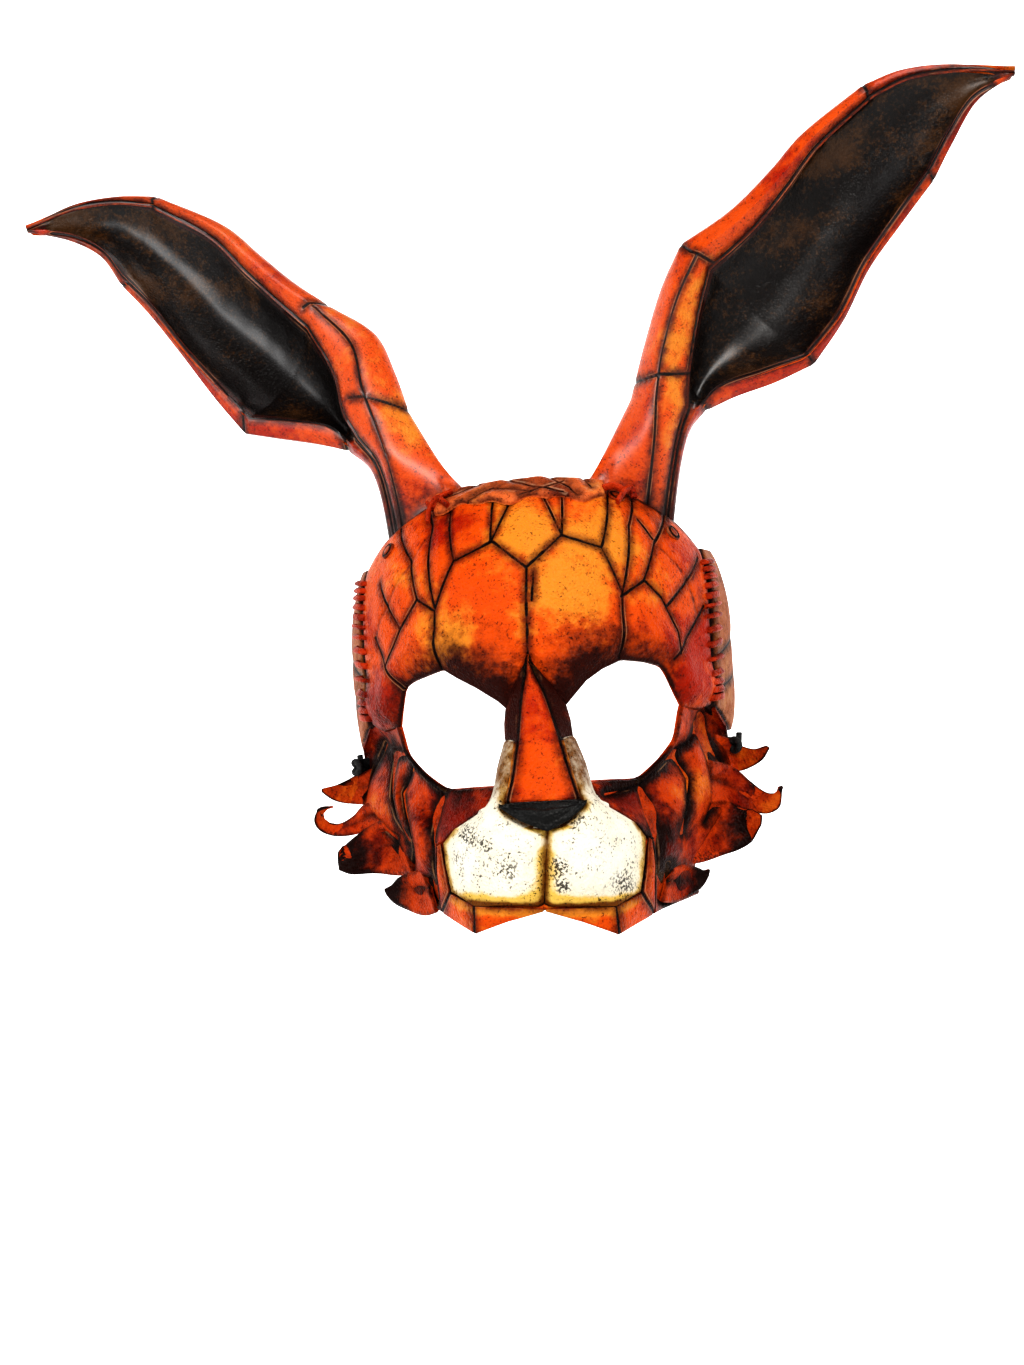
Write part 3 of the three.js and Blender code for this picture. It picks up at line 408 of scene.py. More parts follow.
forehead = {
    "columns": 336, "rows": 176, "coarse": 4,
    # lower edge from the middle outwards: at is the share of the way, then (x, z)
    "at": [0, 0.15, 0.2, 0.3, 0.38, 0.46, 0.56, 0.66, 0.7, 0.78, 0.84, 0.93, 1],
    "browRight": [
        (-1.8, 7.8), (11.4, -9.6), (14.5, -6.3), (19.5, -1.0), (25.7, 2.9), (33.0, 5.8), (41.8, 4.5),
        (47.3, 2.6), (49.0, 0.2), (52.3, -8.0), (54.6, -13.2), (60.7, -14.8), (65.8, -13.2),
    ],
    "browLeft": [
        (-1.8, 7.8), (-11.0, -9.6), (-13.9, -6.8), (-22.1, -1.2), (-28.7, 2.5), (-34.4, 6.2),
        (-40.6, 4.4), (-46.8, 2.5), (-50.3, 0.4), (-52.0, -6.5), (-53.6, -14.6), (-60.5, -16.0),
        (-65.8, -13.2),
    ],
    "crownAt": [0, 0.3, 0.45, 0.86, 1],
    "crown": [(0, 74.8), (22.65, 73.6), (31.7, 72.2), (56.2, 57.2), (64.7, 46.0)],
    "lace": [(65.8, -13.2), (65.8, -1.7), (66.4, 19.9), (66.3, 35.0), (64.7, 46.0)],
    "lines": [
        [(-4.7, 69.5), (-13.1, 53.0), (-0.4, 41.7), (13.1, 53.5), (6.3, 69.1)],
        [(-11.7, 73), (-11.9, 70.5), (-13.4, 53.1)],
        [(13.5, 73), (13.5, 67.9), (13.1, 53.5)],
        [(-0.3, 41.0), (-1.0, 30.4), (-1.2, 20.5), (-1.6, 8.3)],
        [(2.2, 40.0), (1.0, 29.5)],
        [(-13.1, 52.5), (-27.6, 46.1), (-34.1, 31.4), (-35.4, 28.0), (-35.6, 16.6), (-34.4, 5.5)],
        [(-36.6, 70), (-36.1, 61.0), (-35.3, 29.5)],
        [(-29.2, 72), (-28.9, 64.8), (-27.7, 46.7)],
        [(-49.3, 61.3), (-44.9, 48.4), (-42.0, 32.8), (-35.4, 28.0)],
        [(-42.5, 32.1), (-50.0, 22.1), (-55.8, 8.8)],
        [(-57.9, 40.5), (-50.0, 22.7)],
        [(-61.1, 20.1), (-55.8, 8.8), (-50.5, 0.4)],
        [(13.5, 53.1), (27.5, 47.8), (34.0, 30.7), (33.2, 18), (31.6, 6.5)],
        [(30.8, 72), (30.3, 67.1), (27.5, 47.8)],
        [(38.8, 69.5), (38.0, 56), (34.2, 30.7)],
        [(51.5, 61.0), (47.2, 49.3), (42.3, 34.7), (33.5, 29.2)],
        [(41.3, 58.4), (46.5, 50.7)],
        [(63.4, 43.4), (50.6, 25.1)],
        [(42.6, 34.7), (48.6, 28.0), (53.6, 15.0), (53.0, 7.0)],
        [(64.4, 24.5), (50.8, 5.1)],
    ],
    # shallow worn lines that carry dye but hardly any depth
    "softLines": [
        [(-36.7, 58.7), (-44.4, 47.8), (-53.6, 33.8), (-60.6, 20.8)],
        [(48.5, 47.7), (56.6, 38.0)],
        [(58.5, 35.1), (61.5, 22.7)],
    ],
    # dye patches (x, z, radius, strength): below 0 goldener, above 0 redder
    "dye": [
        (0, 57, 12, -1.4), (-20, 26, 15, -0.35), (-28, 17, 8, -0.7), (17, 31, 15, -1.1),
        (24, 58, 10, -0.8), (37, 48, 10, -0.75), (47, 31, 8, -0.35), (-44, 40, 9, -0.55),
        (-41, 18, 9, -0.45), (-32, 58, 9, 0.75), (-20, 60, 7, 0.35), (-42, 55, 7, 0.4),
        (44, 17, 9, 0.5), (20, 12, 10, 0.15), (56, -4, 12, 1.0), (-60, -6, 12, 0.9),
        (60, 45, 9, 0.55), (66, 15, 10, 0.9), (-66, 20, 9, 0.6), (-17, 33, 9, 0.25),
    ],
    "burn": [
        (0, 76, 9, 0.35), (-57, -8, 9, 0.35), (66, 25, 7, 0.4), (52, 58, 9, 0.35),
        (-34, 66, 6, 0.5), (34, 68, 6, 0.45), (-66, 5, 8, 0.5), (45, 66, 7, 0.4),
    ],
}


def foreheadGrid(spec):
    # dome angles blended between the brow, crown and lacing edges, then raised onto the dome
    columns, rows = spec["columns"], spec["rows"]
    share = np.linspace(0, 1, columns // 2 + 1)
    halves = []
    for side, brow in ((-1, spec["browLeft"]), (1, spec["browRight"])):
        lowMarks, highMarks = domeAngles(brow), domeAngles(spec["crown"]) * [side, 1]
        low = np.stack([np.interp(share, spec["at"], lowMarks[:, k]) for k in (0, 1)], -1)
        high = np.stack([np.interp(share, spec["crownAt"], highMarks[:, k]) for k in (0, 1)], -1)
        sideMarks = domeAngles(spec["lace"]) * [side, 1]
        climb = np.linspace(0, 1, rows + 1)
        edge = np.stack([np.interp(climb, np.linspace(0, 1, 5), sideMarks[:, k]) for k in (0, 1)], -1)
        middle = low[0] * (1 - climb[:, None]) + high[0] * climb[:, None]
        halves.append(patch(low, high, middle, edge))
    return np.concatenate([halves[0][:, ::-1], halves[1][:, 1:]], 1)


def makeForehead(spec):
    # the dome, swelled between its lines, rolled along the brow and a little uneven
    angles = foreheadGrid(spec)
    grid = domePoint(angles[..., 0], angles[..., 1])
    inward = towardHead(grid)
    # angles times these radii are millimetres along the dome
    radii = [82, 77]
    flat = angles * radii
    groove, soft = (
        distanceTo(flat, [domeAngles(line) * radii for line in spec[key]]) for key in ("lines", "softLines"))
    brow = distanceTo(flat, [domeAngles(spec[key][1:]) * radii for key in ("browLeft", "browRight")])
    lift, border = tooled(grid, inward, groove, pillow=0.7, reach=5.0)
    roll = 1.8 * np.exp(-(((brow - 9) / 6) ** 2)) - 1.0 * np.exp(-((brow / 3.5) ** 2))
    roll *= soften(np.abs(grid[..., 0]), 3, 14)
    wave = 0.5 * ripple(grid, 26, 3) * soften(border, 0, 12)
    fold = 0.35 * np.exp(-((soft / 1.2) ** 2))
    outer = grid + lift + normalsOf(grid, inward) * (roll + wave - fold)[..., None]
    front = grid[..., [0, 2]]
    dye = patches(front, spec["dye"])
    # painted shade: a dark band along the brow, widest and darkest towards the nose, where the leather rolls
    # in to the eye holes
    near = np.exp(-((np.abs(front[..., 0]) - 14) / 26) ** 2)
    browShade = (0.55 + 0.5 * near) * np.exp(-((brow / (8.5 + 9 * near)) ** 2))
    browShade *= soften(np.abs(front[..., 0]), 1, 5) * (1 - 0.5 * soften(np.abs(front[..., 0]), 48, 56))
    hem = np.linalg.norm(grid - grid[-1:], axis=-1)
    burn = patches(front, spec["burn"]) + browShade + 0.4 * np.exp(-((border / 1.5) ** 2))
    burn += 0.45 * np.exp(-((soft / 1.2) ** 2)) + 0.5 * np.exp(-((hem / 3.0) ** 2))
    marks = np.stack([np.minimum(groove, 9), dye, burn], -1)
    leatherShell("foreheadPlate", grid, outer, marks, spec["coarse"], faceLeather,
                 "forehead_plate")


makeForehead(forehead)

crownFold = {
    "columns": 168, "rows": 48, "coarse": 4, "thickness": 2.0,
    "from": -34.5, "to": 29.0, "low": 67.2, "high": 74.9, "over": 2.4,
    "pleats": [
        [(-24, 66), (-12, 72), (2, 69), (14, 73)], [(-8, 75), (4, 71), (14, 69)], [(-30, 69), (-18, 74)],
        [(8, 75), (16, 70.5), (19, 67)], [(20, 75), (24, 70)], [(-2, 68), (6, 70.5), (15, 68)],
    ],
}


def makeCrownFold(spec):
    # leather turned back over the plate's crown edge: the dome again, a leather's thickness further out
    x = np.linspace(spec["from"], spec["to"], spec["columns"] + 1)[None]
    v = np.linspace(0, 1, spec["rows"] + 1)[:, None]
    fall = 0.0026 * x ** 2
    low = spec["low"] + 0.9 * np.sin(x / 4.3) + 0.7 * np.sin(x / 2.1 + 1) - 0.6 * fall
    marks = np.stack(np.broadcast_arrays(x, low + (spec["high"] - fall - low) * v), -1)
    angles = domeAngles(marks)
    seat = domePoint(angles[..., 0], angles[..., 1])
    inward = towardHead(seat)
    normal = normalsOf(seat, inward)
    base = seat + normal * spec["over"]
    pleat = distanceTo(marks, spec["pleats"])
    lift, border = tooled(base, inward, pleat, pillow=0.9, reach=2.5, cut=0.5, width=0.6, edge=1.0)
    outer = base + lift + normal * (0.7 * ripple(base, 6, 51) * soften(border, 0, 3))[..., None]
    dye = 0.0 + 0.6 * ripple(base, 12, 52)
    burn = 0.05 + 0.25 * ripple(base, 7, 53) + 0.4 * np.exp(-((border / 1.2) ** 2))
    tooling = np.stack([pleat + 0.35, dye, burn], -1)
    leatherShell("crownFold", base, outer, tooling, spec["coarse"], foldLeather, None,
                 spec["thickness"], -normal)


makeCrownFold(crownFold)
print("forehead made")

# nose bridge and nose

bridge = {
    "columns": 72, "rows": 120, "coarse": 4, "crown": 2.6,
    # z, half width of the ridge, its front, half width of the strips, their front
    "sections": [
        (10.0, 0.3, 94.4, 0.8, 93.2), (7.0, 0.6, 95.6, 1.6, 94.2),
        (1.5, 2.2, 95.6, 5.2, 92.6), (-4.0, 4.1, 97.0, 9.0, 91.4),
        (-9.5, 5.3, 98.8, 11.6, 90.6), (-15.0, 6.4, 101.2, 12.6, 91.6), (-20.6, 7.5, 103.9, 12.9, 93.4),
        (-21.4, 7.7, 104.3, 9.2, 103.2), (-32.5, 10.2, 110.3, 11.4, 109.2), (-38.0, 11.8, 112.6, 12.8, 111.5),
        (-42.2, 13.0, 114.4, 13.8, 113.2),
    ],
}


def makeBridge(spec):
    # cross-sections from strip edge to strip edge, with a rounded crown between the ridge's edges
    table = np.array(spec["sections"])[::-1]
    z = np.linspace(table[0, 0], table[-1, 0], spec["rows"] + 1)
    half, front, strip, stripFront = (np.interp(z, table[:, 0], table[:, k])[:, None] for k in (1, 2, 3, 4))
    u = np.linspace(-1, 1, spec["columns"] + 1)[None]
    top = np.clip(np.abs(u) / 0.66, 0, 1)
    flank = np.clip((np.abs(u) - 0.66) / 0.34, 0, 1)
    x = np.sign(u) * (half * top + (strip - half) * flank)
    y = -(front + spec["crown"] * (1 - top ** 2.4)) * (1 - flank) - (stripFront * flank)
    y = np.where(flank > 0, -(front + (stripFront - front) * flank), y)
    base = handmade(np.stack([x, y, np.broadcast_to(z[:, None], x.shape)], -1))
    inward = towardHead(base)
    ridge = np.abs(np.abs(u) - 0.66) * strip
    step = np.where(np.abs(u) > 0.66, np.abs(z[:, None] + 21.0), 9.0)
    groove = np.minimum(ridge + 0 * z[:, None], step)
    lift = tooled(base, inward, groove, pillow=0.3, reach=2.5, cut=0.3, width=0.5, edge=0.5)[0]
    outer = base + lift + normalsOf(base, inward) * (0.25 * ripple(base, 14, 8))[..., None]
    dye = 0.3 - 0.45 * np.exp(-(((z[:, None] + 34) / 10) ** 2)) + 0.35 * np.abs(u)
    dark = soften(np.abs(u), 0.6, 0.7)
    burn = dark * (0.95 - 0.55 * soften(-z[:, None], 21, 22)) + 0.4 * np.exp(-((ridge / 1.4) ** 2))
    burn = burn + 0.35 * np.exp(-(((z[:, None] + 42) / 2.0) ** 2)) + 0.25 * soften(z[:, None], -6, 6)
    lower = dark * soften(-z[:, None], 20.8, 21.4)
    dye = dye * (1 - lower) - 1.1 * lower
    marks = np.stack(np.broadcast_arrays(groove, dye, burn), -1)
    leatherShell("noseBridge", base, outer, marks, spec["coarse"], faceLeather, "nose_bridge")


makeBridge(bridge)

nose = {"columns": 64, "rows": 32, "coarse": 4, "top": -42.2, "half": 15.6, "swell": 3.2}


def makeNose(spec):
    # three-cornered pad: straight top, sides that run down to a tip, sunk in the middle
    u = np.linspace(-1, 1, spec["columns"] + 1)[None]
    v = np.linspace(0, 1, spec["rows"] + 1)[:, None]
    lowLine = np.interp(np.abs(u), [0, 0.08, 0.55, 1], [-53.4, -53.0, -49.8, -44.4])
    topLine = spec["top"] - 1.2 * np.abs(u) ** 3
    z = topLine + (lowLine - topLine) * v
    x = u * spec["half"] + 0 * v
    front = 112.4 + 3.2 * (1 - u ** 2) + 3.4 * soften(v, 0, 0.3) + 1.2 * v * (1 - np.abs(u))
    y = -(front + spec["swell"] * np.sin(np.pi * np.clip(v * 0.9 + 0.05, 0, 1)) * (1 - u ** 2) * 0.7)
    base = handmade(np.stack(np.broadcast_arrays(x, y, z), -1))
    inward = towardHead(base)
    lift, border = tooled(base, inward, np.full(base.shape[:2], 9.0), pillow=0.0, edge=0.9)
    dent = -0.9 * soften(border, 1.0, 3.2)
    outer = base + lift + normalsOf(base, inward) * (dent + 0.2 * ripple(base, 5, 4))[..., None]
    rimBurn = 0.5 * np.exp(-((border / 1.2) ** 2))
    marks = np.stack([np.full_like(border, 9), 0.3 * ripple(base, 6, 2), rimBurn], -1)
    leatherShell("noseTip", base, outer, marks, spec["coarse"], blackLeather, "nose_tip")


makeNose(nose)
print("nose made")

# muzzle and lip rim

def mark(across, front, up):
    # place from shares of the head's half width, the snout's reach and the chin's drop
    return np.array([across * head["halfWidth"], -front * head["reach"], up * head["drop"]])


muzzle = {
    "columns": 88, "parts": 12, "coarse": 4, "swell": 4.0,
    # clusters of specks (x, z, radius, strength)
    "specks": [
        (-26, -53, 4, 0.8), (-19, -57, 3.5, 0.7), (-12, -66, 5, 0.6), (6, -66, 4, 0.9), (7, -73, 3, 0.8),
        (28, -74, 7, 0.6), (13, -50, 4, 0.6), (-30, -62, 4, 0.5),
    ],
    # rungs from the inner to the outer edge as shares (across, front, up), and how much each swells
    "rungs": [
        ((0.113, 0.845, -0.235), (0.171, 0.77, -0.228), 0),
        ((0.15, 0.893, -0.359), (0.215, 0.787, -0.34), 0),
        ((0.188, 0.926, -0.459), (0.232, 0.798, -0.413), 0.1),
        ((0.215, 0.943, -0.502), (0.26, 0.84, -0.485), 0.35),
        ((0.115, 0.966, -0.564), (0.436, 0.815, -0.575), 0.8),
        ((0, 0.982, -0.606), (0.494, 0.775, -0.636), 1),
        ((0, 0.976, -0.7), (0.484, 0.782, -0.73), 1),
        ((0, 0.964, -0.79), (0.46, 0.8, -0.842), 0.8),
        ((0, 0.948, -0.884), (0.338, 0.905, -0.88), 0.25),
    ],
    # how far each rung's inner end runs on under the ridge and the nose pad
    "under": [1, 1, 1, 1, 1, 0.6, 0.2, 0.2, 0], "tuck": (-2.2, 2.2, 0.6), "overlap": 0.4,
}


def muzzleRung(rung, u, swell):
    # straight from the inner to the outer mark, bowed forward and swelled between them
    inner, outer, share = mark(*rung[0]), mark(*rung[1]), rung[2]
    bow = abs(outer[1] - inner[1]) * 0.6 * (u - u ** 3) + swell * share * np.sin(np.pi * u) ** 0.8
    line = inner + (outer - inner) * u[:, None]
    line[:, 1] -= bow
    return line


def makeMuzzle(spec):
    # rungs joined in straight lines, smoothed, and mirrored into the two lobes with a groove between them
    u = np.linspace(0, 1, spec["columns"] + 1)
    lines = np.stack([muzzleRung(rung, u, spec["swell"]) for rung in spec["rungs"]])
    under = np.clip(1 - u / 0.12, 0, 1)[None, :, None] * np.array(spec["under"])[:, None, None]
    lines = lines + under * np.array(spec["tuck"])
    # the rung at the nose's tip is raised behind it
    lines[5] += under[0] * np.array([0, 1.6, 3.5])
    lines[..., 0] = np.maximum(lines[..., 0], -spec["overlap"])
    parts = spec["parts"]
    count = (len(lines) - 1) * parts
    place = np.linspace(0, len(lines) - 1, count + 1)
    low = np.clip(place.astype(int), 0, len(lines) - 2)
    part = (place - low)[:, None, None]
    half = relaxed(lines[low] * (1 - part) + lines[low + 1] * part, 60)
    for side, name in ((1, "Right"), (-1, "Left")):
        base = handmade(half * [side, 1, 1])
        inward = towardHead(base)
        seamSide = np.linalg.norm(np.cumsum(np.diff(base, axis=1, prepend=base[:, :1]), axis=1), axis=-1)
        middle = np.where(place[:, None] >= 4.3, seamSide, 9)
        flat = base[..., [0, 2]]
        rimLine = distanceTo(flat, [flat[4 * parts:, -1], flat[-1, 4:]])
        lift = tooled(base, inward, np.full(base.shape[:2], 9.0), pillow=0.6, reach=6, edge=0.6)[0]
        cleft = -1.5 * np.exp(-((middle / 1.6) ** 2))
        outer = base + lift + normalsOf(base, inward) * (cleft + 0.3 * ripple(base, 16, 5))[..., None]
        # at the groove the halves sink straight back, so that they stay joined
        outer[..., 0] += (base - outer)[..., 0] * np.exp(-((middle / 2.0) ** 2))
        strip = 1 - soften(-base[..., 2], 34, 47)
        burn = 0.85 * np.exp(-((middle / 2.2) ** 2)) + 0.75 * np.exp(-((rimLine / 1.6) ** 2))
        bottom = distanceTo(flat, [flat[-1]])
        dye = 1.5 * np.exp(-((bottom / 4.2) ** 2)) + 1.3 * np.exp(-((middle / 5) ** 2)) + strip * 0.9
        dye = dye + 1.2 * np.exp(-((rimLine / 3.0) ** 2))
        top = distanceTo(flat, [flat[2 * parts:4 * parts + 8, 0]])
        dye = dye + 1.0 * np.exp(-((top / 3.0) ** 2)) - 0.5
        burn = burn + 0.8 * np.exp(-((top / 2.0) ** 2)) + strip * 0.7 + 0.55 * np.exp(-((bottom / 1.6) ** 2))
        grain = 9 + 8 * np.clip(patches(flat, spec["specks"]), 0, 1)
        grain = np.where(middle < 0.5, 0.3, grain)
        marks = np.stack(np.broadcast_arrays(grain, dye, burn), -1)
        node = "muzzle" if side > 0 else None
        leatherShell(f"muzzle{name}", base, outer, marks, spec["coarse"], creamLeather, node)


makeMuzzle(muzzle)

lip = {
    "columns": 24, "parts": 24, "coarse": 4,
    "outer": [
        (0.52, 0.762, -0.645), (0.528, 0.745, -0.75), (0.516, 0.72, -0.938), (0.343, 0.905, -1),
        (0.172, 0.94, -0.945), (0, 0.948, -0.905),
    ],
}


def makeLip(spec):
    # straight rungs from the muzzle's lower edge to the rim's outer edge, bowed forward by 0.8 mm
    rungs = muzzle["rungs"]
    ends = [muzzleRung(rung, np.array([1.0]), muzzle["swell"])[0] for rung in rungs[-4:]]
    foot = muzzleRung(rungs[-1], np.array([0.5, 0.0]), muzzle["swell"])
    inner = np.stack(ends + [foot[0], foot[1]])
    outer = np.stack([mark(*row) for row in spec["outer"]])
    place = np.linspace(0, 5, 5 * spec["parts"] + 1)
    a = np.stack([np.interp(place, range(6), inner[:, k]) for k in range(3)], -1)
    b = np.stack([np.interp(place, range(6), outer[:, k]) for k in range(3)], -1)
    u = np.linspace(0.02, 1, spec["columns"] + 1)[None, :, None]
    half = a[:, None] * (1 - u) + b[:, None] * u
    half[..., 1] -= np.sin(np.pi * u[..., 0]) * 0.8
    for side, name in ((1, "Right"), (-1, "Left")):
        base = handmade(half * [side, 1, 1])
        inward = towardHead(base)
        flat = base[..., [0, 2]]
        crease = distanceTo(flat, [flat[3 * spec["parts"]], flat[2 * spec["parts"]]])
        topLine = distanceTo(flat, [flat[:, 0]])
        groove = np.minimum(crease, topLine + 0.25)
        lift, border = tooled(base, inward, groove, pillow=0.6, reach=3.5, cut=0.5, width=0.5, edge=0.8)
        outerGrid = base + lift + normalsOf(base, inward) * (0.25 * ripple(base, 12, 6))[..., None]
        dye = -0.1 + 0.7 * soften(np.abs(base[..., 0]), 30, 42) - 0.9 * np.exp(-((topLine - 2) / 1.6) ** 2)
        burn = 0.25 * np.exp(-((border / 1.2) ** 2)) + 0.25 * soften(np.abs(base[..., 0]), 36, 42)
        marks = np.stack([groove, dye, burn], -1)
        node = "lip_rim" if side > 0 else None
        leatherShell(f"lipRim{name}", base, outerGrid, marks, spec["coarse"], faceLeather,
                     node)


makeLip(lip)
print("muzzle made")

# cheeks with their curled locks

cheeks = {
    "columns": 160, "rows": 140, "coarse": 4,
    "lid": [
        (17.5, -97.4, -37.4), (26.4, -88.5, -37.8), (36.1, -82.0, -38.0), (44.5, -74.5, -32.0),
        (50.9, -66.5, -24.8), (53.4, -62.9, -14.8), (54.4, -61.0, -11.8),
        (64.6, -42.6, -11.0), (70.9, -30.9, -21.7),
    ],
    "inner": [
        (17.5, -97.4, -37.4), (19.6, -102.5, -43.9), (32.9, -99.4, -52.0), (37.3, -94.6, -57.6),
        (39.3, -93.0, -58.4), (39.9, -90.9, -67.9), (39.0, -87.8, -84.9),
    ],
    "outer": [
        (70.9, -30.9, -21.7), (72.1, -13.4, -30.3), (73.2, -25.6, -41.6), (69.1, -40.3, -50.0),
        (54.7, -58.0, -69.5), (56.2, -57.3, -80.1),
    ],
    "foot": [(39.0, -87.8, -84.9), (42.3, -76.9, -84.2), (56.2, -57.3, -80.1)],
    # folds: (line in the front view, depth, width)
    "foldsRight": [
        ([(36.3, -39.0), (39.7, -47.4), (42.0, -58.3), (41.5, -72), (43, -84)], 1.6, 2.6),
        ([(50.5, -30.3), (54.6, -39.1), (54.3, -48.9), (52.2, -60)], 1.3, 2.8),
        ([(61.8, -16.9), (62.5, -28.6), (65.4, -40.4), (66.4, -47.8), (60.6, -57.4)], 1.3, 2.8),
        ([(24.3, -41.6), (36.3, -40.2), (50.5, -30.5), (60.4, -22.0)], 1.0, 2.2),
        ([(45.6, -70.0), (44.0, -84.0)], 0.9, 1.8),
        ([(60.0, -20.0), (68.0, -34.0), (70.5, -44.0)], 0.9, 2.0),
    ],
    "foldsLeft": [
        ([(-36.3, -38.0), (-39.4, -43.6), (-41.5, -55.0), (-41.6, -69.0), (-42.4, -82.5)], 1.6, 2.6),
        ([(-48.4, -26.5), (-53.4, -38.5), (-52.1, -48.2), (-50.5, -59.7), (-52.7, -72.0)], 1.3, 2.8),
        ([(-57.7, -24.9), (-58.7, -39.8), (-57.1, -48.3), (-53.0, -56.9)], 1.2, 2.6),
        ([(-57.4, -24.2), (-52.0, -25.0), (-47.0, -29.3), (-40.0, -36.0), (-36.5, -39.0)], 1.0, 2.0),
        ([(-61.9, -20.5), (-70.6, -36.2), (-73.0, -43.4)], 1.0, 2.0),
        ([(-66.4, -48.9), (-58.1, -55.9), (-55.9, -66.4)], 1.0, 2.2),
        ([(-52.7, -72.0), (-44.2, -70.9), (-42.0, -82.6)], 0.8, 1.8),
    ],
    "dyeRight": [
        (58, -42, 8, -0.75), (48, -44, 6, -0.5), (56, -52, 8, -0.5), (66, -34, 6, -0.3), (36, -70, 10, 0.6),
        (30, -42, 9, 0.7), (47, -62, 8, 0.3),
    ],
    "dyeLeft": [
        (-60, -46, 8, -0.85), (-48, -34, 8, -0.3), (-47, -58, 8, -0.2), (-66, -40, 6, -0.5),
        (-40, -72, 8, 0.5), (-32, -42, 9, 0.7), (-54, -66, 6, 0.2),
    ],
    # darker patches (x, z, radius, strength): burnt dye, and painted shade in the valley beside the muzzle at
    # x about 40 on each side
    "burnRight": [
        (42, -58, 8, 0.75), (40, -74, 9, 0.7), (28, -41, 8, 0.45), (44, -34, 7, 0.45), (60, -22, 6, 0.55),
        (50, -76, 7, 0.45), (68, -28, 5, 0.4), (52, -56, 5, 0.3),
    ],
    "burnLeft": [
        (-42, -50, 6, 0.35), (-42, -76, 7, 0.45), (-28, -41, 8, 0.5), (-56, -22, 6, 0.6), (-50, -78, 7, 0.4),
        (-68, -30, 6, 0.35), (-54, -62, 5, 0.35), (-62, -22, 5, 0.4),
    ],
}


def cheekGrid(spec):
    # patch between the lid, the muzzle's side, the foot and the locks' side, with its folds rounded
    u = np.linspace(0, 1, spec["columns"] + 1)
    v = np.linspace(0, 1, spec["rows"] + 1)
    edges = [along(spec["lid"], u, 0.4), along(spec["foot"], u, 0.3),
             along(spec["inner"], v), along(spec["outer"], v, 0.5)]
    return relaxed(patch(*edges), 120)


cheekBase = cheekGrid(cheeks)


def makeCheek(spec, side, name):
    # the cheek patch, swelled between its folds, with each fold pressed in by an exponential of the distance
    base = handmade(cheekBase * [side, 1, 1])
    inward = towardHead(base)
    front = base[..., [0, 2]]
    shape = np.zeros(base.shape[:2])
    groove = np.full(base.shape[:2], 9.0)
    foldShade = np.zeros(base.shape[:2])
    for line, depth, width in spec[f"folds{name}"]:
        reach = distanceTo(front, [line])
        shape -= 1.4 * depth * np.exp(-reach / width)
        # painted shade along the fold's valley
        foldShade += 0.75 * np.exp(-((reach / 1.9) ** 2))
        groove = np.minimum(groove, reach)
    lift, border = tooled(base, inward, groove, pillow=0.9, reach=4.0, cut=0.4, width=0.5, edge=0.8)
    shape *= soften(border, 0, 5)
    shape += 0.8 * ripple(base, 18, 12 + side) * soften(border, 0, 8)
    outer = base + lift + normalsOf(base, inward) * shape[..., None]
    dye = 0.45 + patches(front, spec[f"dye{name}"])
    burn = 0.12 + patches(front, spec[f"burn{name}"]) + 0.4 * np.exp(-((border / 1.6) ** 2))
    # the folds' valleys are coloured darker, as painted shade
    burn += np.minimum(foldShade, 0.9)
    marks = np.stack([groove, dye, burn], -1)
    leatherShell(f"cheek{name}", base, outer, marks, spec["coarse"], cheekLeather,
                 f"cheek_{name.lower()}")


for side, name in ((1, "Right"), (-1, "Left")):
    makeCheek(cheeks, side, name)
print("cheeks made")

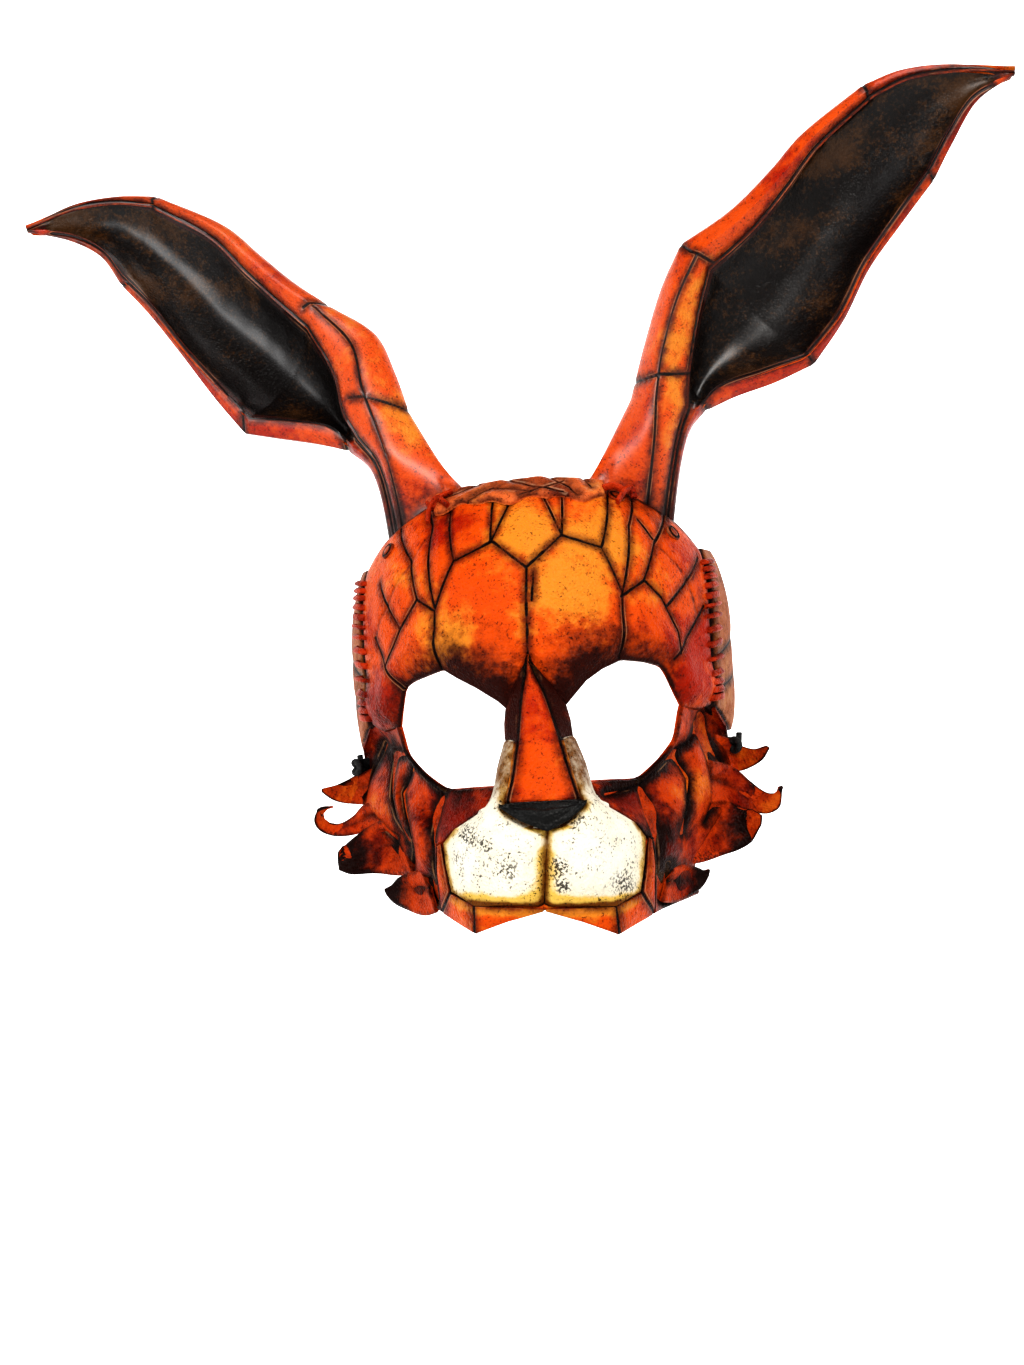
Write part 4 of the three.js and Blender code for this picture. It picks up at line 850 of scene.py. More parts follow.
locks = {
    "columns": 24, "rows": 56, "coarse": 4, "thickness": 2.0, "tipThickness": 1.1,
    # each leaf: its name, its upper and its lower edge as (x, y, z) from root to tip, and its hollow
    "leaves": [
        ("lockRightOne",
         [(66, -30, -24), (71, -26, -26.5), (76.5, -26, -30), (82, -28, -31.5), (86.4, -31, -30.3)],
         [(66, -32, -41), (74, -25, -40), (79, -26, -38.5), (84, -28, -35.5), (87, -31, -31)], 2.0),
        ("lockRightTwo",
         [(64, -48, -34), (73, -38, -38), (78.5, -37, -43.5), (84.5, -39, -48.2), (88.2, -42, -48.6),
          (89.3, -45, -45.8)],
         [(62, -52, -50), (71, -42, -51.5), (77, -39, -54.5), (84.0, -40, -56), (88.8, -42, -53.6),
          (90.2, -45, -46.2)], 3.0),
        ("lockRightThree",
         [(60, -52, -46), (67, -45, -48.2), (73.7, -42, -53), (78.6, -43, -54.2), (81.8, -45, -56.3)],
         [(50, -64, -72), (58, -58, -71.5), (66, -50, -69.8), (77, -45, -66), (81.5, -46, -59.5)], 4.5),
        ("lockRightFour",
         [(47, -74, -71), (53, -66, -72.4), (56.4, -62, -74), (58.5, -60, -75), (60.6, -59, -74.6)],
         [(42, -80, -84), (46, -74, -84.6), (52.3, -66, -83.2), (57.2, -61, -80.6), (60.2, -59, -76.6)], 2.6),
        ("lockLeftOne",
         [(-64, -34, -27), (-69, -28, -30.5), (-75.6, -26, -33), (-82.5, -28, -35.8), (-88, -31, -36.8)],
         [(-66, -32, -43), (-73, -26, -44), (-78, -26, -43.4), (-83.6, -28, -41.6), (-88, -31, -38)], 2.4),
        ("lockLeftTwo",
         [(-63, -48, -42), (-71, -41, -43.6), (-76, -38, -48.0), (-81.6, -39, -50.6), (-86.0, -41, -49.4),
          (-87.3, -43, -46.8), (-85.4, -45, -44.6), (-82.4, -46, -43.8)],
         [(-60, -54, -53), (-69.8, -44, -53.6), (-78.7, -40, -55.0), (-84.6, -40, -54.4), (-88.8, -42, -51.4),
          (-89.8, -44, -47.6), (-87.4, -46, -44.0), (-83.0, -46, -43.0)], 1.6),
        ("lockLeftThree",
         [(-60, -54, -48), (-69, -46, -52), (-75.3, -43, -56), (-79, -42, -58.6), (-81.6, -44, -61)],
         [(-50, -66, -70), (-57, -58, -70), (-67.2, -50, -69), (-76.5, -46, -69.4), (-81.2, -45, -67.8)],
         4.5),
        ("lockLeftFour",
         [(-47, -74, -67), (-53, -66, -69.4), (-57.4, -62, -71.2), (-60.3, -60, -74), (-63, -59, -75)],
         [(-42, -80, -83), (-47, -74, -84.2), (-54.4, -66, -82.2), (-59.4, -61, -80), (-62.8, -59, -76.4)],
         2.6),
    ],
}


def makeLock(spec, name, upper, lower, hollow):
    # leaf between two bent edges, cupped across its width and drawn to a rolled tip
    share = np.linspace(0, 1, spec["rows"] + 1)
    a, b = along(upper, share, 1.0), along(lower, share, 1.0)
    u = np.linspace(0, 1, spec["columns"] + 1)[None, :, None]
    base = a[:, None] * (1 - u) + b[:, None] * u
    inward = towardHead(base)
    cup = hollow * np.sin(np.pi * u[..., 0]) * np.sin(np.pi * np.clip(share, 0, 1))[:, None]
    pleat = 0.7 * np.exp(-(((u[..., 0] - 0.45) / 0.07) ** 2)) * (1 - share[:, None])
    base = base + inward * (cup + pleat)[..., None]
    depth = spec["thickness"] + (spec["tipThickness"] - spec["thickness"]) * share[:, None]
    depth = np.broadcast_to(depth, base.shape[:2])
    line = np.abs(u[..., 0] - 0.45) * np.linalg.norm(b - a, axis=-1)[:, None] + 4 * share[:, None]
    lift, border = tooled(base, inward, line, pillow=0.3, reach=3, cut=0.3, width=0.5, edge=0.7)
    outer = base + lift + normalsOf(base, inward) * (0.4 * ripple(base, 9, len(name)))[..., None]
    dye = np.broadcast_to(0.1 + 0.5 * share[:, None], base.shape[:2])
    burn = 0.15 + 0.95 * soften(share[:, None], 0.35, 0.95) + 0.4 * np.exp(-((border / 1.2) ** 2))
    burn = np.minimum(burn, 1.1)
    marks = np.stack([line, dye, burn], -1)
    leatherShell(name, base, outer, marks, spec["coarse"], cheekLeather, None, depth, inward)


for row in locks["leaves"]:
    makeLock(locks, *row)
print("locks made")

# ears

ears = {
    "columns": 120, "rows": 352, "coarse": 4, "length": 216.0, "fold": 13.0, "hollow": 13.0, "leather": 2.4,
    "root": (40.5, -38.0, 71.5),
    # inner edge (out, up), outer edge (out, up), ridge, cup from, cup to, fold, hollow, corner
    "Right": [
        (-0.079, 0.026, 0.081, -0.02, 0.6, 0.86, 0.93, 0.45, 0, 0),
        (-0.037, 0.089, 0.106, 0.093, 0.56, 0.9, 0.95, 0.95, 0, 0),
        (0.003, 0.157, 0.135, 0.127, 0.34, 0.8, 0.88, 1, 0.02, 1),
        (0.03, 0.243, 0.19, 0.148, 0.2, 0.53, 0.78, 0.98, 0.45, 0),
        (0.068, 0.348, 0.262, 0.169, 0.14, 0.35, 0.86, 0.9, 0.85, 0),
        (0.108, 0.426, 0.333, 0.197, 0.12, 0.236, 0.915, 0.8, 1, 1),
        (0.2, 0.481, 0.391, 0.273, 0.1, 0.215, 0.93, 0.67, 1, 0),
        (0.275, 0.547, 0.441, 0.36, 0.1, 0.2, 0.92, 0.57, 0.95, 0),
        (0.332, 0.605, 0.5, 0.433, 0.09, 0.18, 0.91, 0.5, 0.87, 0),
        (0.446, 0.685, 0.563, 0.508, 0.08, 0.15, 0.89, 0.42, 0.68, 1),
        (0.514, 0.707, 0.6, 0.572, 0.09, 0.16, 0.86, 0.33, 0.45, 0),
        (0.602, 0.711, 0.645, 0.64, 0.14, 0.22, 0.8, 0.2, 0.2, 0),
        (0.714, 0.692, 0.716, 0.684, 0.3, 0.4, 0.6, 0.05, 0, 1),
    ],
    "Left": [
        (-0.079, 0.02, 0.077, -0.03, 0.6, 0.86, 0.93, 0.45, 0, 0),
        (-0.037, 0.075, 0.09, 0.072, 0.67, 0.88, 0.94, 0.95, 0, 0),
        (0.007, 0.17, 0.13, 0.119, 0.46, 0.82, 0.9, 1, 0.02, 1),
        (0.026, 0.25, 0.19, 0.143, 0.33, 0.64, 0.77, 0.98, 0.45, 0),
        (0.055, 0.33, 0.25, 0.163, 0.19, 0.44, 0.83, 0.9, 0.85, 0),
        (0.14, 0.405, 0.322, 0.187, 0.08, 0.22, 0.88, 0.8, 1, 1),
        (0.2, 0.462, 0.373, 0.264, 0.1, 0.2, 0.89, 0.67, 1, 0),
        (0.262, 0.531, 0.43, 0.36, 0.1, 0.2, 0.92, 0.57, 0.95, 0),
        (0.328, 0.605, 0.487, 0.452, 0.09, 0.18, 0.91, 0.5, 0.87, 0),
        (0.455, 0.69, 0.54, 0.525, 0.08, 0.15, 0.89, 0.42, 0.68, 1),
        (0.53, 0.705, 0.575, 0.588, 0.09, 0.16, 0.86, 0.33, 0.45, 0),
        (0.62, 0.709, 0.635, 0.635, 0.14, 0.22, 0.8, 0.2, 0.2, 0),
        (0.722, 0.68, 0.722, 0.672, 0.3, 0.4, 0.6, 0.05, 0, 1),
    ],
    "footShares": {"Right": (0, 0.7, 0.93, 0.97, 1), "Left": (0, 0.82, 0.93, 0.97, 1)},
    # side, then lean, droop and turn in degrees
    "poses": {"Right": (1, 0, 0, 0), "Left": (-1, 14.3, 5.2, 7.6)},
    "stripes": {"Right": (1.5, 0.75), "Left": (0.4, 0.45)},
}


def throughRows(keys, corners, count):
    # grid through key rows: cubic from row to row, with a kink at the rows marked as corners
    middles = keys.mean(axis=1)
    lengths = np.concatenate([[0], np.cumsum(np.linalg.norm(np.diff(middles, axis=0), axis=1))])
    place = np.linspace(0, lengths[-1], count + 1)
    i = np.clip(np.searchsorted(lengths, place, side="right") - 1, 0, len(keys) - 2)
    span = np.diff(lengths)
    t = ((place - lengths[i]) / span[i])[:, None, None]
    chord = np.diff(keys, axis=0) / span[:, None, None]
    before, after = np.concatenate([chord[:1], chord]), np.concatenate([chord, chord[-1:]])
    corner = np.asarray(corners, float)[:, None, None]
    arrive = before * corner + (before + after) / 2 * (1 - corner)
    leave = after * corner + (before + after) / 2 * (1 - corner)
    width = span[i][:, None, None]
    return (keys[i] * (1 + 2 * t) * (1 - t) ** 2 + keys[i + 1] * t * t * (3 - 2 * t)
            + width * (leave[i] * t * (1 - t) ** 2 - arrive[i + 1] * t * t * (1 - t)))


def throughRowsLike(keys, values, count):
    # straight mixing of other values of the key rows at the same rows as the grid
    lengths = np.concatenate([[0], np.cumsum(np.linalg.norm(np.diff(keys.mean(axis=1), axis=0), axis=1))])
    place = np.linspace(0, lengths[-1], count + 1)
    i = np.clip(np.searchsorted(lengths, place, side="right") - 1, 0, len(keys) - 2)
    t = ((place - lengths[i]) / np.diff(lengths)[i])[:, None, None]
    return values[i] * (1 - t) + values[i + 1] * t


def turned(pose):
    # lean about X, then droop about Y, then turn about Z
    lean, droop, turn = (math.radians(value) for value in pose[1:])
    return (Matrix.Rotation(turn, 3, "Z") @ Matrix.Rotation(droop, 3, "Y") @ Matrix.Rotation(-lean, 3, "X"))


def earFlange(shares):
    # three rows tucked behind the plate along its crown line, the lowest first
    marks = domeAngles(forehead["crown"])
    place = 0.31 + 0.57 * shares
    crown = domePoint(*(np.interp(place, forehead["crownAt"], marks[:, k]) for k in (0, 1)))
    rows = []
    for drop in (15, 7.5, 0):
        lowered = crown - np.array([0, 0.25, 1]) * drop
        lowered[:, 0] = np.minimum(lowered[:, 0], 0.9 * head["halfWidth"])
        angles = domeAngles(lowered[:, [0, 2]])
        point = domePoint(angles[:, 0], angles[:, 1])
        rows.append(point + towardHead(point) * (head["leather"] + 0.75))
    return np.stack(rows)


def makeEar(spec, name):
    # outline rows from the table, each folded and hollowed by a power of a sine, turned into the pose and
    # run on into the flange behind the plate
    table = np.array(spec[name], float)[1:]
    ridge, cupFrom, cupTo = (table[:, k:k + 1] for k in (4, 5, 6))
    fold, hollow = -table[:, 7:8] * spec["fold"], table[:, 8:9] * spec["hollow"]
    # columns gather at the ridge and at the cup's edges, so that creases follow the grid
    stops = [int(spec["columns"] * share) for share in (0.2, 0.33, 0.87)]
    kinds = np.interp(np.arange(spec["columns"] + 1), [0, *stops, spec["columns"]], np.arange(5))
    knots = np.concatenate([0 * ridge, ridge, cupFrom, cupTo, 0 * ridge + 1], 1)
    u = np.stack([np.interp(kinds, np.arange(5), row) for row in knots])
    bank, rim = fold * 0.45, fold * 0.4
    part = np.clip((u - cupFrom) / (cupTo - cupFrom), 0, 1)
    steps = [fold * (u / ridge) ** 0.7, fold + (bank - fold) * (u - ridge) / (cupFrom - ridge),
             bank + (rim - bank) * part + hollow * np.sin(np.pi * part) ** 0.6, rim * (1 - u) / (1 - cupTo)]
    depth = np.select([kinds <= 1, kinds <= 2, kinds < 3, kinds >= 3], steps)
    out = (table[:, 0:1] * (1 - u) + table[:, 2:3] * u) * spec["length"]
    up = (table[:, 1:2] * (1 - u) + table[:, 3:4] * u) * spec["length"]
    pose = spec["poses"][name]
    placed = np.stack([out, depth, up], -1) @ np.array(turned(pose)).T + np.array(spec["root"])
    foot = np.interp(kinds, np.arange(5), spec["footShares"][name])
    keys = np.concatenate([earFlange(foot), placed])
    corners = np.concatenate([[0, 0, 0.6], table[:, 9]])
    base = throughRows(keys, corners, spec["rows"])
    # the flat drawing of the ear and the hollow's share, carried to every row of the grid
    flange = np.stack([out[0] + 0 * out[0], 0 * out[0], up[0] - 20], -1)[None]
    drawn = np.stack([out, np.broadcast_to(table[:, 8:9], out.shape), up], -1)
    drawn = np.concatenate([flange - [0, 0, 15], flange - [0, 0, 7], flange, drawn])
    drawn = throughRowsLike(keys, drawn, spec["rows"])
    blade = soften(drawn[..., 1], 0.02, 0.12)
    inward = np.cross(np.gradient(base, axis=1), np.gradient(base, axis=0))
    inward /= np.linalg.norm(inward, axis=-1, keepdims=True) + 1e-12
    inward *= np.sign(inward[..., 1].mean())
    across = np.pad(np.cumsum(np.linalg.norm(np.diff(base, axis=1), axis=-1), 1), ((0, 0), (1, 0)))
    toRidge, toCup, toRim = (np.abs(across - across[:, k:k + 1]) for k in stops)
    reach = np.hypot(drawn[..., 0], drawn[..., 2]) / spec["length"]
    rimLine = np.abs(toRim - 1.2 * (kinds > 3)) + 9 * (1 - blade)
    rimLine = np.minimum(np.abs(toCup - 1.6 * (kinds < 2)), rimLine)
    groove = np.minimum(toRidge + 9 * (reach > 0.425), rimLine)
    groove = np.minimum(groove, distanceTo(drawn[..., [0, 2]], earCrossings(spec, name)))
    lift, border = tooled(base, inward, groove, pillow=0.7, reach=3.0, cut=0.45, width=0.55, edge=0.8)
    inside = blade * ((kinds > 2) & (kinds < 3))
    shape = 0.7 * ripple(base, 26, 21) * soften(border, 0, 8) + 1.1 * ripple(base, 44, 22) * inside
    shape = shape + 0.1 * ripple(base, 4, 23) * inside
    outer = base + lift - inward * shape[..., None]
    height = drawn[..., 2] / spec["length"]
    # a golden stripe up the stalk, at its own place and strength on each ear
    stripe, strength = spec["stripes"][name]
    tanned = np.exp(-(((kinds - stripe) / 0.6) ** 2)) * (1 - soften(reach, 0.42, 0.5))
    dye = 0.35 + 0.35 * ripple(base, 30, 31) - strength * tanned
    dye = dye + 0.4 * (kinds > 3) * (1 - blade)
    dye = dye * (1 - inside) + inside * (0.2 + 0.6 * soften(reach, 0.45, 0.95) + 0.4 * ripple(base, 20, 17))
    # painted shade: low on the ear, where it rises from behind the plate, the leather is coloured darker
    burn = 0.7 * (1 - soften(height, -0.03, 0.07)) + 0.4 * np.exp(-((border / 1.3) ** 2))
    burn = burn + 0.45 * np.exp(-((groove / 2.2) ** 2)) + 0.15 * (kinds > 3) * (1 - blade)
    burn = np.minimum(burn, 1.15) * (1 - inside) + 2.0 * inside
    marks = np.stack(np.broadcast_arrays(np.minimum(groove, 9), dye, burn), -1)
    mirror = np.array([pose[0], 1, 1])
    leatherShell(f"ear{name}", base * mirror, outer * mirror, marks, spec["coarse"], earLeather,
                 f"ear_{name.lower()}", spec["leather"], inward * mirror)


def earCrossings(spec, name):
    # tooled lines across the stalk and the rim bands, in the ear's own plane
    shares = {
        "Right": [
            [(-0.004, 0.184), (0.06, 0.192), (0.115, 0.194)],
            [(0.108, 0.426), (0.125, 0.407), (0.163, 0.386)],
            [(0.317, 0.221), (0.333, 0.197)], [(0.119, 0.167), (0.14, 0.127)],
            [(0.446, 0.685), (0.455, 0.655)], [(0.55, 0.525), (0.563, 0.508)],
        ],
        "Left": [
            [(0.009, 0.174), (0.11, 0.206)], [(0.14, 0.405), (0.179, 0.396)],
            [(0.13, 0.119), (0.132, 0.171)], [(0.317, 0.238), (0.322, 0.187)],
            [(0.463, 0.661), (0.455, 0.69)], [(0.522, 0.523), (0.54, 0.525)],
        ],
    }
    return [np.array(line) * spec["length"] for line in shares[name]]


for name in ("Right", "Left"):
    makeEar(ears, name)
print("ears made")

# side panels, lacing, rivets and strap

panel = {"columns": 60, "rows": 120, "coarse": 4, "top": 0.54, "foot": -0.39, "under": 3.0,
         "footFront": 79, "footBack": 89, "back": 93}


def laceAngles(place):
    # dome angles at a place along the plate's laced edge
    marks = domeAngles(forehead["lace"])
    stops = np.linspace(0, 1, 5)
    return np.stack([np.interp(place, stops, marks[:, k]) for k in (0, 1)], -1)


def makePanel(spec, side, name):
    # dome surface behind the lacing, its foot cut off slantwise
    rise = np.linspace(spec["foot"], spec["top"], spec["rows"] + 1)
    laced = np.clip((rise + 0.25) / (0.52 + 0.25), 0, 1)
    angles = laceAngles(laced)
    edge = domePoint(angles[:, 0], angles[:, 1])
    front = angles[:, 0] - spec["under"] / np.hypot(edge[:, 0], edge[:, 1])
    slant = np.clip((-0.25 - rise) / (-0.25 - spec["foot"]), 0, 1)
    front = front + (math.radians(spec["footFront"]) - front) * slant
    back = np.radians(spec["back"] + (spec["footBack"] - spec["back"]) * slant)
    u = np.linspace(0, 1, spec["columns"] + 1)[None]
    azimuth = front[:, None] * (1 - u) + back[:, None] * u
    elevation = domeAngles(np.stack([0 * rise, head["middle"] + head["height"] * rise], -1))[:, 1]
    base = domePoint(azimuth, elevation[:, None] + 0 * azimuth) * [side, 1, 1]
    inward = towardHead(base)
    fromEdge = np.linalg.norm(base - base[:, :1], axis=-1)
    base = base + inward * (2.7 * (1 - soften(fromEdge, 2.5, 7.5)))[..., None]
    profile = base[..., [1, 2]]
    lines = [[(-40, 5), (-5, 14)], [(-40, -8), (-5, -2)]]
    groove = distanceTo(profile, lines)
    lift, border = tooled(base, inward, groove, pillow=0.4, reach=3, cut=0.4, width=0.5, edge=0.7)
    outer = base + lift + normalsOf(base, inward) * (0.5 * ripple(base, 16, 41 + side))[..., None]
    dye = 0.1 + 0.5 * ripple(base, 22, 43)
    burn = 0.35 * np.exp(-((border / 2.0) ** 2)) + 0.2 * (1 + ripple(base, 12, 44))
    # painted shade: darker within 4 to 8 mm of the front edge, where the panel runs in under the plate and
    # the lacing
    burn += 1.1 * (1 - soften(fromEdge, 4, 8))
    marks = np.stack([np.minimum(groove, 9), dye, burn], -1)
    leatherShell(f"sidePanel{name}", base, outer, marks, spec["coarse"], panelLeather,
                 f"side_panel_{name.lower()}")


def sweep(name, path, section, material, node=None, upright=None, tooling=None):
    # closed tube: a section (x, y) carried along a path, with its frame turned as little as possible
    path = np.asarray(path, float)
    ahead = np.gradient(path, axis=0)
    ahead /= np.linalg.norm(ahead, axis=1, keepdims=True)
    up = np.zeros_like(path)
    current = np.array([0, 0, 1.0]) if upright is None else np.asarray(upright, float)
    for i, direction in enumerate(ahead):
        current = current - direction * (current @ direction)
        current = current / np.linalg.norm(current)
        up[i] = current
    beside = np.cross(ahead, up)
    section = np.asarray(section, float)
    if section.ndim == 2:
        section = np.broadcast_to(section, (len(path),) + section.shape)
    rings = path[:, None] + beside[:, None] * section[..., 1:2] + up[:, None] * section[..., 0:1]
    count, sides = rings.shape[:2]
    index = np.arange(count * sides).reshape(count, sides)
    around = np.roll(index, -1, axis=1)
    faces = np.stack([index[:-1].ravel(), around[:-1].ravel(), around[1:].ravel(), index[1:].ravel()], 1)
    ends = [np.stack([np.full(sides, count * sides + k), (around, index)[k][end], (index, around)[k][end]], 1)
            for k, end in ((0, 0), (1, -1))]
    points = np.concatenate([rings.reshape(-1, 3), path[:1], path[-1:]])
    if tooling is None:
        tooling = np.tile([9.0, 0.3, 0.15], (len(points), 1))
    return makePiece(name, points, [faces] + ends, material, tooling, node, 50)


def roundSection(across, thick, sides, power=2.0):
    # oval with the given half sizes, squarer with a higher power of its cosine and sine
    angle = np.linspace(0, 2 * np.pi, sides, endpoint=False)
    c, s = (np.sign(wave) * np.abs(wave) ** (2 / power) for wave in (np.cos(angle), np.sin(angle)))
    return np.stack([across * c, thick * s], -1)


# first and run are shares of the laced edge, the rest is in millimetres; wide and thick are half sizes
lacing = {
    "stitches": 14, "first": 0.06, "run": 0.9, "inset": 2.6, "gap": 4.0, "above": 1.2,
    "wide": 1.3, "thick": 0.75, "steps": 600, "sides": 10,
}


def lacePlace(place, beside, off):
    # beside is measured outwards from the plate's edge, off away from the head
    angles = laceAngles(place)
    edge = domePoint(angles[..., 0], angles[..., 1])
    girth = np.hypot(edge[..., 0], edge[..., 1])
    point = domePoint(angles[..., 0] + beside / girth, angles[..., 1])
    return point - towardHead(point) * off


def makeLacing(spec, side, name):
    # thong that goes over from plate to panel, through, back inside and up to the next hole
    pitch = spec["run"] / spec["stitches"]
    below = head["leather"] + spec["above"]
    far = spec["gap"] + spec["inset"]
    path = []
    for i in range(spec["stitches"]):
        place = spec["first"] + i * pitch
        for shift, beside, off in (
            (0, -spec["inset"], -0.6), (0, -spec["inset"] + 0.3, spec["above"]),
            (0.25, far - 0.3, spec["above"]), (0.25, far, -0.6), (0.3, far, -below),
            (0.95, -spec["inset"], -below),
        ):
            path.append(lacePlace(np.array(place + pitch * shift), beside, off))
    path = along(np.array(path), np.linspace(0, 1, spec["steps"]), 0.8) * [side, 1, 1]
    section = roundSection(spec["wide"], spec["thick"], spec["sides"], 3.0)
    tone = np.tile([9.0, 0.4, 0.2], (len(path) * spec["sides"] + 2, 1))
    sweep(f"lacing{name}", path, section, thongLeather, f"lacing_{name.lower()}",
          (0, 0, 1), tone)


rivets = {
    "places": {"Inner": (33.5, 67.2), "Outer": (53.8, 52.6)}, "sides": 40, "above": 0.5, "ring": 2.45,
    # radius and height from the cap's middle over its rim, down the post and under its foot
    "profile": [
        (0, 1.15), (1.2, 1.12), (2.0, 1.0), (2.35, 0.62), (2.6, 0.62), (2.9, 0.95), (3.25, 0.7), (3.4, 0.2),
        (3.4, -0.4), (1.1, -0.5), (1.1, -6.0), (2.6, -6.0), (2.4, -6.8), (0, -6.8),
    ],
}


def makeRivet(spec, side, sideName, name):
    # profile turned about the direction square to the leather
    angles = domeAngles(spec["places"][name])
    seat = domePoint(angles[0], angles[1])
    over = domePoint(angles[0] + 0.01, angles[1]) - seat
    upward = domePoint(angles[0], angles[1] + 0.01) - seat
    axis = np.cross(over, upward)
    axis = axis / np.linalg.norm(axis)
    axis = axis * np.sign(axis @ -towardHead(seat))
    over = over / np.linalg.norm(over)
    third = np.cross(axis, over)
    profile = along(np.array(spec["profile"], float), np.linspace(0, 1, 40), 0.0)[1:-1]
    turn = np.linspace(0, 2 * np.pi, spec["sides"], endpoint=False)
    rings = (seat + axis * (profile[:, None, 1:2] + spec["above"])
             + over * profile[:, None, 0:1] * np.cos(turn)[None, :, None]
             + third * profile[:, None, 0:1] * np.sin(turn)[None, :, None])
    count, sides = rings.shape[:2]
    index = np.arange(count * sides).reshape(count, sides)
    around = np.roll(index, -1, axis=1)
    faces = np.stack([index[:-1].ravel(), around[:-1].ravel(), around[1:].ravel(), index[1:].ravel()], 1)
    caps = [np.stack([np.full(sides, count * sides), around[0], index[0]], 1),
            np.stack([np.full(sides, count * sides + 1), index[-1], around[-1]], 1)]
    ends = seat + axis * (np.array([[spec["profile"][0][1]], [spec["profile"][-1][1]]]) + spec["above"])
    points = np.concatenate([rings.reshape(-1, 3), ends]) * [side, 1, 1]
    ringMark = np.abs(np.concatenate([np.repeat(profile[:, 0], sides), [0, 9]]) - spec["ring"])
    tooling = np.stack([ringMark, 0 * ringMark + 0.2, 0 * ringMark + 0.2], -1)
    makePiece(f"rivet{sideName}{name}", points, [faces] + caps, faceLeather, tooling,
              f"rivet_{sideName.lower()}_{name.lower()}", 60)


for side, sideName in ((1, "Right"), (-1, "Left")):
    makePanel(panel, side, sideName)
    makeLacing(lacing, side, sideName)
    for rivetName in rivets["places"]:
        makeRivet(rivets, side, sideName, rivetName)
print("panels, lacing and rivets made")


ties = {
    "tieLeft": [(-36.5, 61.5, 1.5), (-33.5, 66, 4.2), (-29.8, 69.4, 4.4), (-25.9, 71.7, 3.6)],
    "tieLeftEnd": [(-27.5, 66.5, 3.0), (-30.5, 68.6, 5.2), (-33.4, 66.4, 3.6), (-35.4, 68.4, 3.0)],
    "tieRight": [(27.0, 69.6, 3.0), (30.0, 69.5, 4.6), (33.4, 68.0, 4.4), (37.3, 69.6, 3.0)],
    "tieRightEnd": [(32.6, 64.4, 2.2), (33.6, 67.4, 5.0), (36.6, 68.4, 4.2), (38.6, 66.0, 2.4)],
}

# short thongs knotted through the plate beside the inner rivets: places seen from the front and height
for name, row in ties.items():
    row = np.array(row, float)
    angles = domeAngles(row[:, :2])
    seats = domePoint(angles[:, 0], angles[:, 1])
    path = along(seats - towardHead(seats) * row[:, 2:], np.linspace(0, 1, 60), 1.0)
    sweep(name, path, roundSection(1.4, 0.8, 12, 3.0), thongLeather, None, (0, -0.5, 0.8))


def wovenElastic():
    # woven elastic: matt black yarn over rubber, with ribs about 2 mm apart
    elastic = newMaterial("woven elastic, black")
    place = addNode(elastic, "ShaderNodeTexCoord", [], "Object")
    waves = {"Vector": place, "Scale": 160.0, "Distortion": 0.4}
    ribs = addNode(elastic, "ShaderNodeTexWave", waves, "Fac", bands_direction="Z")
    yarn = addNode(elastic, "ShaderNodeTexNoise", {"Vector": place, "Scale": 1500.0, "Detail": 2.0}, "Fac")
    height = addNode(elastic, "ShaderNodeMath", [ribs, yarn])
    bump = addNode(elastic, "ShaderNodeBump", {"Strength": 0.7, "Distance": 0.0003, "Height": height})
    worn = addNode(elastic, "ShaderNodeMapRange", [yarn, 0.3, 0.7])
    colours = {0: worn, 6: linear("121212"), 7: linear("303030")}
    colour = addNode(elastic, "ShaderNodeMix", colours, 2, data_type="RGBA")
    shader = addNode(elastic, "ShaderNodeBsdfPrincipled", {
        "Base Color": colour, "Roughness": 0.85, "Normal": bump,
    })
    addNode(elastic, "ShaderNodeOutputMaterial", {"Surface": shader})
    return elastic


strapElastic = wovenElastic()
strap = {"seat": (71.6, -24.2, -29.2), "width": 6.0, "thick": 1.4, "reach": 96.0, "rise": 48.0}


def makeStrap(spec):
    # flat band from slot to slot: a quarter oval on each side of the back of the head
    seat = np.array(spec["seat"])
    inward = np.array([-0.86, 0.48, 0.1])
    inward = inward / np.linalg.norm(inward)
    outside, inside = seat - inward * 2.4, seat + inward * 5.2
    share = np.linspace(0.14, 1, 8)
    rise = soften(share, 0.05, 0.5) * spec["rise"]
    back = np.stack([
        (inside[0] + spec["thick"]) * np.cos(share * np.pi / 2) ** 0.7,
        inside[1] + (spec["reach"] - inside[1]) * np.sin(share * np.pi / 2), inside[2] + rise,
    ], -1)
    half = np.concatenate([[outside, seat, inside], back])
    whole = np.concatenate([half, half[-2::-1] * [-1, 1, 1]])
    path = along(whole, np.linspace(0, 1, 260), 1.0)
    section = roundSection(spec["width"] / 2, spec["thick"] / 2, 16, 4.0)
    sweep("headStrap", path, section, strapElastic, "head_strap", (0, 0, 1))
    for side, name in ((1, "Right"), (-1, "Left")):
        knot = (seat - inward * 2.6) * [side, 1, 1]
        turn = np.linspace(0, 2 * np.pi, 120)
        # two loops wound round each other make the knot
        coil = np.stack([1.3 * np.cos(2 * turn), 2.3 * np.cos(turn) + 0.9 * np.cos(3 * turn),
                         1.8 * np.sin(turn) - 0.9 * np.sin(2 * turn)], -1)
        tail = np.linspace(0, 1, 20)[:, None] * np.array([[0.5 * side, 1.0, 4.6]]) + coil[-1]
        cord = knot + np.concatenate([coil, tail[1:]])
        sweep(f"strapKnot{name}", cord, roundSection(1.25, 1.0, 10), strapElastic, None, (1, 0, 0))


makeStrap(strap)
print("strap made")

# camera, lights and floor

camera = {"yaw": 3.0, "roll": -3.5, "across": -12.7, "distance": 1000.0, "focal": 2500.0, "longSide": 1365.0}


